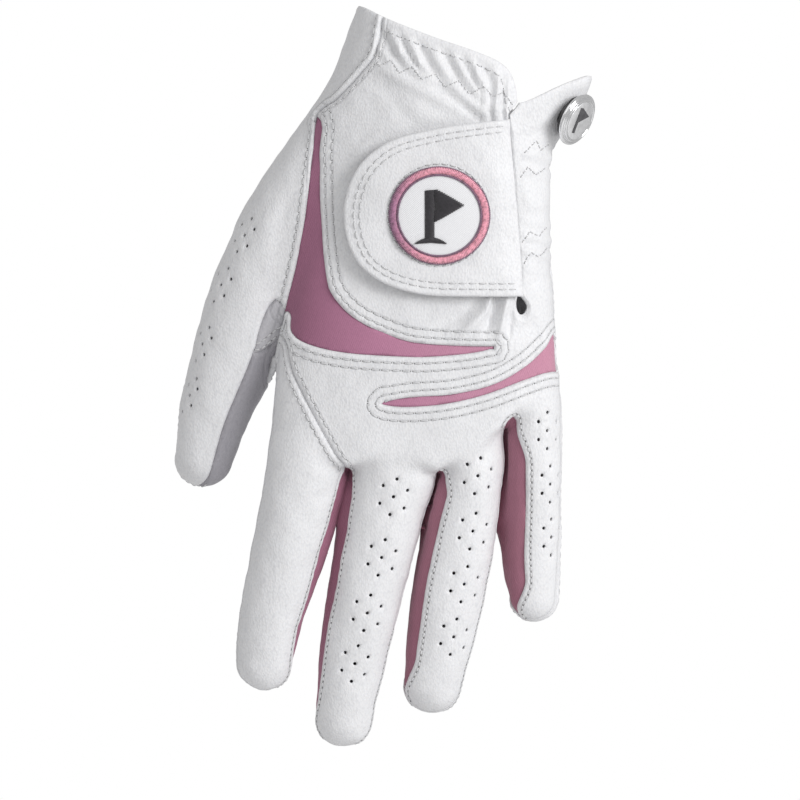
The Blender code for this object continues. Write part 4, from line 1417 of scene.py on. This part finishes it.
def sew(skin):
    """Every row of stitches on the skin. Distances and pitches are in millimetres."""
    sewing = Sewing()
    tree = KDTree(len(skin["rest"]))
    for i, p in enumerate(skin["rest"]):
        tree.insert(p, i)
    tree.balance()
    skin["tree"] = tree

    def rows(regions, distance, value, pitch, quarters=3, keep=None, thumb=False, radius=0.2):
        for chain in surface_rows(skin, regions, distance, value, keep):
            sewing.row(evened(chain, pitch / 4), quarters, thumb, radius)

    windows, walls, joins, thumb, hem = (skin[k] for k in ("windows", "walls", "joins", "thumb", "hem"))
    gusset_hem = line_distance(skin["rest"], GUSSET_HEM)

    def in_view(p):
        return (p[:, 1] < 4) & (p[:, 0] > -52)

    def open_wall(p):
        """False on the little-finger side of a finger, where its neighbour's fabric touches it."""
        _, _, u, _ = nearest_digit(p)
        second = np.sort(finger_distances(p), 1)[:, 1]
        return (u < 0) | (second > 4.5)

    for value in (SEAM_ROW, SECOND_ROW):
        rows(("back", "yoke"), windows, value, 2.9, 3, in_view)
    rows(("back", "yoke", "palm"), walls, SEAM_ROW, 1.7, keep=open_wall, radius=WALL_THREAD)
    rows(("back", "yoke"), skin["yoke_seam"], SEAM_ROW, 2.6, keep=lambda p: (walls > 2.4) & (windows > 2.4))
    rows(("palm",), joins, SEAM_ROW, 2.6, keep=lambda p: walls > 2.4, radius=PALM_THREAD)
    rows(("thumb_back", "thumb_front"), skin["thumb_inner"], 0.9, 2.2, keep=lambda p: p[:, 1] > 12, thumb=True)
    rows(("thumb_back", "thumb_front"), thumb, SEAM_ROW, 2.6, thumb=True, keep=lambda p: p[:, 2] > -66)
    rows(("thumb_back",), skin["thumb_open"], SEAM_ROW, 2.6, keep=lambda p: thumb > 2.6, thumb=True)
    for value in (0.9, 2.4):
        rows(("gusset",), -gusset_hem, value, 1.9, thumb=True)
    rows(("back",), thumb, 1.6, 2.6, keep=lambda p: (hem > 2) & (windows > 1.2))
    rows(("palm",), thumb, 1.6, 2.6, keep=lambda p: hem > 2, radius=PALM_THREAD)
    rows(("back",), hem, HEM_ROW, 2.8, 2, lambda p: (p[:, 0] < 16.2) & (p[:, 2] > -20))
    rows(("palm",), hem, HEM_ROW, 2.8, 2, lambda p: (p[:, 2] > -20))
    for line in (CUFF_ZIGZAG, *STRIP_ZIGZAGS):
        sewing.row(drawn_line(skin, line, 0.33), 2, radius=ZIGZAG_THREAD)
    sewing.build()


# ---- the closure tab, its patches and its emblem ---------------------------------------------------

def flat_patch(outline, step, fine):
    """An outline of (x, z) filled with small triangles, as points at the skin with their normals."""
    outline = np.array(outline, float)
    low, high = outline.min(0) - step, outline.max(0) + step
    xs, zs = np.arange(low[0], high[0] + step, step), np.arange(low[1], high[1] + step, step * 0.87)
    grid = np.stack(np.meshgrid(xs, zs, indexing="ij"), -1)
    grid[:, 1::2, 0] += step / 2
    flat = grid.reshape(-1, 2)
    points = np.stack([flat[:, 0], np.zeros(len(flat)), flat[:, 1]], 1)
    index = np.arange(len(flat)).reshape(len(xs), len(zs))
    faces = []
    for j in range(len(zs) - 1):
        a, b, c, d = index[:-1, j], index[1:, j], index[1:, j + 1], index[:-1, j + 1]
        pairs = [(a, b, d), (b, c, d)] if j % 2 == 0 else [(a, b, c), (a, c, d)]
        faces += [np.stack(t, 1) for t in pairs]
    faces = np.concatenate(faces)

    def edge(p):
        return outline_distance(p, outline)

    for longest in fine:
        points, faces = refine(points, faces, np.abs(edge(points)) < 1.2, longest)
    points, faces = cut_along(points, faces, edge)
    faces = faces[edge(points[faces].mean(1)) < 0]
    used, faces = np.unique(faces, return_inverse=True)
    points, faces = points[used], faces.reshape(-1, 3)
    inside = -edge(points)
    points[:, 1] = tab_base(points[:, 0], points[:, 2])
    return points, faces, np.maximum(inside, 0)


def tab_base(x, z):
    """Y of the smooth back of the hand under the tab."""
    left, right, depth = (np.interp(z, HAND[:, 0], HAND[:, k]) for k in (1, 2, 3))
    a = np.abs(x - (left + right) / 2) / ((right - left) / 2)
    return -depth * np.maximum(1 - np.minimum(a, 0.995) ** ROUNDNESS, 0.01) ** (1 / ROUNDNESS)


def base_normal(p):
    x, z, step = p[:, 0], p[:, 2], 0.5
    across = (tab_base(x + step, z) - tab_base(x - step, z)) / (2 * step)
    up = (tab_base(x, z + step) - tab_base(x, z - step)) / (2 * step)
    return unit(np.stack([across, -np.ones(len(p)), up], 1))


def lay_patch(name, body, outline, low, high, finish, slot, nodes, step, rounding=0.0, crown=None, fine=()):
    """A patch over the back of the hand, from low to high over it, with its upper edge rounded."""
    points, faces, inside = flat_patch(outline, step, fine)
    normals = base_normal(points)
    top = np.full(len(points), float(high))
    if crown is not None:
        top += crown(points, inside)
    if rounding:
        share = np.clip(1 - inside / rounding, 0, 1)
        top -= (high - low) * 0.62 * (1 - np.sqrt(1 - share**2))
    upper, lower = points + normals * top[:, None], points + normals * low
    count = len(points)
    rim, away = border_frame(points, faces, normals)
    if np.einsum("ij,ij->i", vertex_normals(upper, faces), normals).mean() < 0:
        faces, rim, away = faces[:, ::-1], rim[:, ::-1], -away
    shading = vertex_normals(upper, faces)
    under = -vertex_normals(lower, faces)
    edge = np.unique(rim)
    shading[edge] = unit(shading[edge] + 0.8 * away[edge])
    under[edge] = unit(under[edge] + 0.8 * away[edge])
    walls = [(b, a, a + count, b + count) for a, b in rim.tolist()]
    all_faces = [*faces.tolist(), *(faces[:, ::-1] + count).tolist(), *walls]
    piece = make_piece(name, np.concatenate([upper, lower]), all_faces, np.concatenate([shading, under]),
                       finish, slot)
    ride_body(piece, body, nodes)
    return {"points": upper, "normals": normals, "faces": faces}


def shrunk(outline, distance):
    """A closed outline moved inward."""
    outline = np.array(outline, float)
    run = np.roll(outline, -1, 0) - np.roll(outline, 1, 0)
    side = unit(np.stack([run[:, 1], -run[:, 0]], 1))
    moved = outline + side * distance
    if outline_distance(moved, outline).mean() > 0:
        moved = outline - side * distance
    return moved


def on_tab(x, z, height):
    """Points over the tab at a height over the hand, with their normals."""
    p = np.stack([x, tab_base(x, z), z], -1)
    normal = base_normal(p)
    return p + normal * np.asarray(height)[..., None], normal


def tab_thread(name, ends, height, radius, finish, slot, nodes=(), rise=0.2):
    """Threads over the tab between pairs of (x, z, x, z)."""
    ends = np.array(ends, float)
    a, normal = on_tab(ends[:, 0], ends[:, 1], np.broadcast_to(height, len(ends)))
    b, _ = on_tab(ends[:, 2], ends[:, 3], np.broadcast_to(height, len(ends)))
    ride_body(make_piece(name, *thread_mesh(a, b, normal, radius, rise), None, finish, slot), "tab", nodes)


TAB_TOP = 3.9           # the tab's outside over the back of the hand
TAB_ROWS = 1.9, 3.5     # its two stitch rows, from its free edge
EMBLEM_ROW = 14.3       # the stitch row round the emblem, from its middle


def tab_crown(p, inside):
    """The tab's top: full inside its double row of stitches, with a low fold along its hinge."""
    rows = sum(-0.16 * np.exp(-((inside - row) / 0.45) ** 2) for row in TAB_ROWS)
    fold = smooth_step(p[:, 0] - slit_x(p[:, 2]), -5.0, -0.5)
    ring = np.hypot(p[:, 0] - EMBLEM[0], p[:, 2] - EMBLEM[1])
    return (rows * (1 - fold) + 0.22 * noise(p, 9.0, 21) + 0.05 * noise(p, 2.4, 22)
            - 0.14 * np.exp(-((ring - EMBLEM_ROW) / 0.6) ** 2) - 0.5 * fold)


def build_tab():
    lay_patch("loop_pile", "hand", [(-20, -26), (8, -26), (8, -58), (-20, -58)], 0.25, 0.95, "loop", "hook",
              ["loop_patch"], 1.2, 0.5, lambda p, inside: 0.08 * noise(p, 1.4, 31))
    lay_patch("hook_pile", "tab", [(-17, -28), (5, -28), (5, -56), (-17, -56)], 1.15, 1.95, "hook", "hook",
              ["hook_patch"], 1.2, 0.4)
    lay_patch("tab_underside", "tab", shrunk(TAB_OUTLINE, 1.2), 2.1, 2.7, "suede", "leather",
              ["tab_lining"], 1.4)
    tab = lay_patch("tab_leather", "tab", TAB_OUTLINE, 2.75, TAB_TOP, "smooth_leather", "leather",
                    ["closure_tab"], 0.8, 1.0, tab_crown, (0.6, 0.35))
    points = np.concatenate([tab["points"], tab["normals"]], 1)
    threads = []
    free = tab["points"][:, 0] < slit_x(tab["points"][:, 2]) - 1.2
    to_free_edge = np.abs(line_distance(tab["points"], TAB))
    ring = np.hypot(tab["points"][:, 0] - EMBLEM[0], tab["points"][:, 2] - EMBLEM[1])
    for distance, value, pitch in (*((to_free_edge, row, 2.8) for row in TAB_ROWS), (ring, EMBLEM_ROW, 2.3)):
        faces = tab["faces"][free[tab["faces"]].all(1)]
        for chain in level_lines(points, faces, distance, value):
            line = evened(chain, pitch)
            if len(line) > 1:
                middle, half = (line[:-1] + line[1:]) / 2, (line[1:] - line[:-1]) / 2 * 0.66
                threads.append(np.concatenate([middle - half, middle + half], 1))
    rows = np.concatenate(threads)
    a, b, normal = rows[:, :3], rows[:, 6:9], unit(rows[:, 3:6] + rows[:, 9:12])
    # painted shade: flat dark dots at the tab's needle holes
    dots = dot_mesh(np.concatenate([a, b]), np.concatenate([normal, normal]), 0.15)
    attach(make_piece("tab_stitches", *thread_mesh(a, b, normal, 0.21), None, "thread", "thread"), "tab")
    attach(make_piece("tab_needle_hole_painted_shade", *dots, None, "hole", "thread"), "tab")
    build_emblem()


def circle(radius, count):
    turn = 2 * math.pi * np.arange(count) / count
    return np.stack([EMBLEM[0] + radius * np.sin(turn), EMBLEM[1] + radius * np.cos(turn)], 1)


def spokes(count, inner, outer, lean, first=0.0):
    """Leaning threads round the emblem from one radius to another, as (x, z, x, z)."""
    turn = 2 * math.pi * (np.arange(count) + first) / count
    return np.stack([EMBLEM[0] + inner * np.sin(turn), EMBLEM[1] + inner * np.cos(turn),
                     EMBLEM[0] + outer * np.sin(turn + lean), EMBLEM[1] + outer * np.cos(turn + lean)], 1)


def flag_threads():
    """Rows of thread for a pole, a pennant and the mound they stand on, as (x, z, x, z)."""
    x0, z0 = EMBLEM
    pitch = 0.34
    pole = [(x0 - 3.9, z0 + h, x0 - 1.2, z0 + h + 0.2) for h in np.arange(-7.2, 7.01, pitch)]
    pennant = []
    for h in np.arange(-1.6, 7.0, pitch):
        reach = 7.6 * (1 - abs(h - 2.7) / 4.4) ** 0.9 + 0.7
        pennant.append((x0 - 1.4, z0 + h, x0 - 1.4 + reach, z0 + h + 0.16))
    mound = []
    for k in range(25):
        out = abs(k - 12) / 12
        x = x0 + pitch * k
        mound.append((x - 6.4, z0 - 7.6 - 0.3 * out, x - 6.3, z0 - 6.0 - 1.5 * out**2))
    return pole + pennant + mound


def build_emblem():
    """A round embroidered badge: twill ground, satin border between two thin cords, and a plain golf flag."""
    lay_patch("badge_twill", "tab", circle(12.2, 72), 4.15, 4.72, "twill", "binding", ["emblem_twill"],
              0.9, 0.3, lambda p, inside: 0.12 * smooth_step(inside, 0, 5.0))
    tab_thread("badge_border", spokes(184, 11.35, 13.4, 0.035, 0.5), 4.55, 0.235, "pink_satin", "thread",
               ["emblem_border"], rise=0.55)
    lay_ring("badge_border_padding", 11.3, 13.4, 4.0, 4.5, "mauve_satin", "thread")
    tab_thread("badge_inner_cord", spokes(150, 10.95, 11.45, 0.055), 4.86, 0.2, "mauve_satin", "thread")
    tab_thread("badge_outer_cord", spokes(150, 13.35, 13.65, 0.05), 4.35, 0.15, "mauve_satin", "thread")
    tab_thread("badge_flag", flag_threads(), 4.98, 0.215, "black_satin", "motif", ["emblem_motif"], rise=0.3)


def lay_ring(name, inner, outer, low, high, finish, slot):
    """A half-round ring over the tab, round the emblem's middle."""
    count, stations = 96, 7
    rings = []
    for share in np.linspace(0, 1, stations):
        height = low + (high - low) * math.sin(math.pi * share)
        rings.append(on_tab(*circle(inner + (outer - inner) * share, count).T, np.full(count, height))[0])
    faces = [(a, d, c, b) for a, b, c, d in tube_faces(stations, count)]
    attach(make_piece(name, np.concatenate(rings), faces, None, finish, slot), "tab")


# ---- the marker on its snap --------------------------------------------------------------------------

MARKER, MARKER_NORMAL = np.array((33.4, -7.9, -15.4)), unit((0.76, -0.5, -0.41))
BEVEL_POINTS = 6


def marker_frame():
    side = unit(np.cross(MARKER_NORMAL, [0, 0, 1]))
    return side, np.cross(side, MARKER_NORMAL)


def lathe(name, body, profile, finish, slot, nodes=()):
    """A turned and capped piece on the marker's axis from (radius, height) pairs."""
    sides = 72
    side, up = marker_frame()
    turn = 2 * math.pi * np.arange(sides) / sides
    ring = side * np.cos(turn)[:, None] + up * np.sin(turn)[:, None]
    points = np.concatenate([MARKER + MARKER_NORMAL * h + ring * r for r, h in profile])
    faces = tube_faces(len(profile), sides)
    faces += [tuple(range(sides))[::-1], tuple(range((len(profile) - 1) * sides, len(profile) * sides))]
    piece = make_piece(name, points, faces, None, finish, slot)
    piece.data.set_sharp_from_angle(angle=math.radians(34))
    ride_body(piece, body, nodes)


def round_edge(radius, low, high, bevel):
    """A profile's rounded rim between two heights: its lower quarter turn, then its upper one."""
    turns = [math.pi / 2 * k / (BEVEL_POINTS - 1) for k in range(BEVEL_POINTS)]
    under = [(radius - bevel + bevel * math.sin(t), low + bevel - bevel * math.cos(t)) for t in turns]
    over = [(radius - bevel + bevel * math.cos(t), high - bevel + bevel * math.sin(t)) for t in turns]
    return under + over


def build_marker():
    lathe("marker_snap_base", "hand", [
        (3.6, -3.2), (3.6, -1.3), (5.7, -1.2), (6.2, -0.9), (6.2, -0.3), (5.9, -0.05), (5.2, 0.0)],
        "gunmetal", "steel", ["marker_seat"])
    lathe("marker_body", "marker", [
        (6.2, 0.25), (6.5, 0.3), *round_edge(7.6, 0.55, 1.75, 0.42), (6.95, 1.78), (6.75, 1.62), (6.55, 1.62),
        (6.45, 1.72), *round_edge(6.45, 1.7, 2.4, 0.25)[BEVEL_POINTS:], (5.9, 2.42), (5.75, 2.28), (5.6, 2.28)],
        "chrome", "steel", ["ball_marker"])
    lathe("marker_face", "marker", [(5.58, 2.1), (5.58, 2.36), (5.45, 2.44), (3.0, 2.47), (0.6, 2.48)],
          "brushed", "steel")
    side, up = marker_frame()
    outline = [(-2.3, -3.6), (-1.2, -3.6), (-1.2, -0.4), (3.3, 1.6), (-1.2, 3.9), (-2.3, 3.9)]
    low = [MARKER + MARKER_NORMAL * 2.4 - side * x + up * z for x, z in outline]
    high = [p + MARKER_NORMAL * 0.22 for p in low]
    count = len(outline)
    faces = [tuple(range(count)), tuple(range(count, 2 * count))[::-1]]
    faces += [((k + 1) % count, k, k + count, (k + 1) % count + count) for k in range(count)]
    piece = make_piece("marker_flag", low + high, faces, None, "enamel", "enamel")
    piece.data.set_sharp_from_angle(angle=math.radians(30))
    ride_body(piece, "marker", ["marker_inlay"])


def build_elastics(skin):
    """Ribbed elastic sewn inside the cuff, which gathers it."""
    faces = skin["faces"]
    x, _, z = skin["rest"][faces].mean(1).T
    below = skin["hem"][faces].mean(1)
    on_back = skin["region"] == REGIONS.index("back")
    under = np.minimum(skin["outer"], 0) - LEATHER
    for name, chosen in (
            ("wrist_elastic", on_back & (below > 7.5) & (below < 13.0) & (x < 14) & (x > -20)),
            ("ulnar_elastic", on_back & (x > 19.4) & (z < -23) & (z > -33))):
        make_panel(f"{name}_band", skin, chosen, under - 0.12, under - 0.75, "elastic", "binding",
                   {"hand": [name]})


# ---- camera, floor and light, in metres ----------------------------------------------------------

PICTURE_MIDDLE = Vector((-0.0154, 0.0, -0.0946))
PICTURE_WIDTH = 0.224   # at the plane that lies PICTURE_DEPTH in front of the middle
PICTURE_DEPTH = 0.012
LAMPS = (("key", (0.70, -0.67, 0.31), 0.45, 6.7), ("fill", (-0.52, -0.5, 0.75), 0.8, 1.1))  # place, size, watts


def build_camera():
    data = bpy.data.cameras.new("camera")
    data.lens = 240
    data.sensor_width = 36
    data.clip_start = 0.01
    data.clip_end = 20
    camera = link("camera", data)
    distance = PICTURE_WIDTH * data.lens / data.sensor_width
    camera.location = PICTURE_MIDDLE + Vector((0, -distance - PICTURE_DEPTH, 0))
    camera.rotation_euler = (math.radians(90), 0, 0)
    bpy.context.scene.camera = camera


def build_floor():
    mesh = bpy.data.meshes.new("studio_floor")
    sides, radius, level = 96, 0.5, -0.30
    turns = [2 * math.pi * k / sides for k in range(sides)]
    rim = [(radius * math.cos(t), radius * math.sin(t), level) for t in turns]
    mesh.from_pydata(rim, [], [tuple(range(sides))])
    mesh.materials.append(Look("floor_paint", 0.9, Base_Color=(0.9, 0.9, 0.9, 1)).material)
    link("studio_floor", mesh)


def build_light():
    """A soft white surround that the camera sees at full strength, and two lamps."""
    world = bpy.data.worlds.new("studio")
    bpy.context.scene.world = world
    world.use_nodes = True
    tree = world.node_tree
    soft = tree.nodes["Background"]
    soft.inputs["Color"].default_value = (1, 1, 1, 1)
    soft.inputs["Strength"].default_value = 0.50
    seen = add(tree, "ShaderNodeBackground", Color=(1, 1, 1, 1), Strength=1.0)
    path = add(tree, "ShaderNodeLightPath")
    mixed = add(tree, "ShaderNodeMixShader", i0=(path, "Is Camera Ray"), i1=(soft, "Background"),
                i2=(seen, "Background"))
    tree.links.new(mixed.outputs[0], tree.nodes["World Output"].inputs["Surface"])
    for name, place, size, power in LAMPS:
        data = bpy.data.lights.new(name, "AREA")
        data.size = size
        data.energy = power
        lamp = link(name, data)
        lamp.location = PICTURE_MIDDLE + Vector(place)
        lamp.rotation_euler = (PICTURE_MIDDLE - lamp.location).to_track_quat("-Z", "Y").to_euler()
    bpy.context.scene.view_settings.view_transform = "Standard"


build_camera()
build_floor()
build_light()
skin = prepare_skin()
build_panels(skin)
build_elastics(skin)
sew(skin)
build_tab()
build_marker()
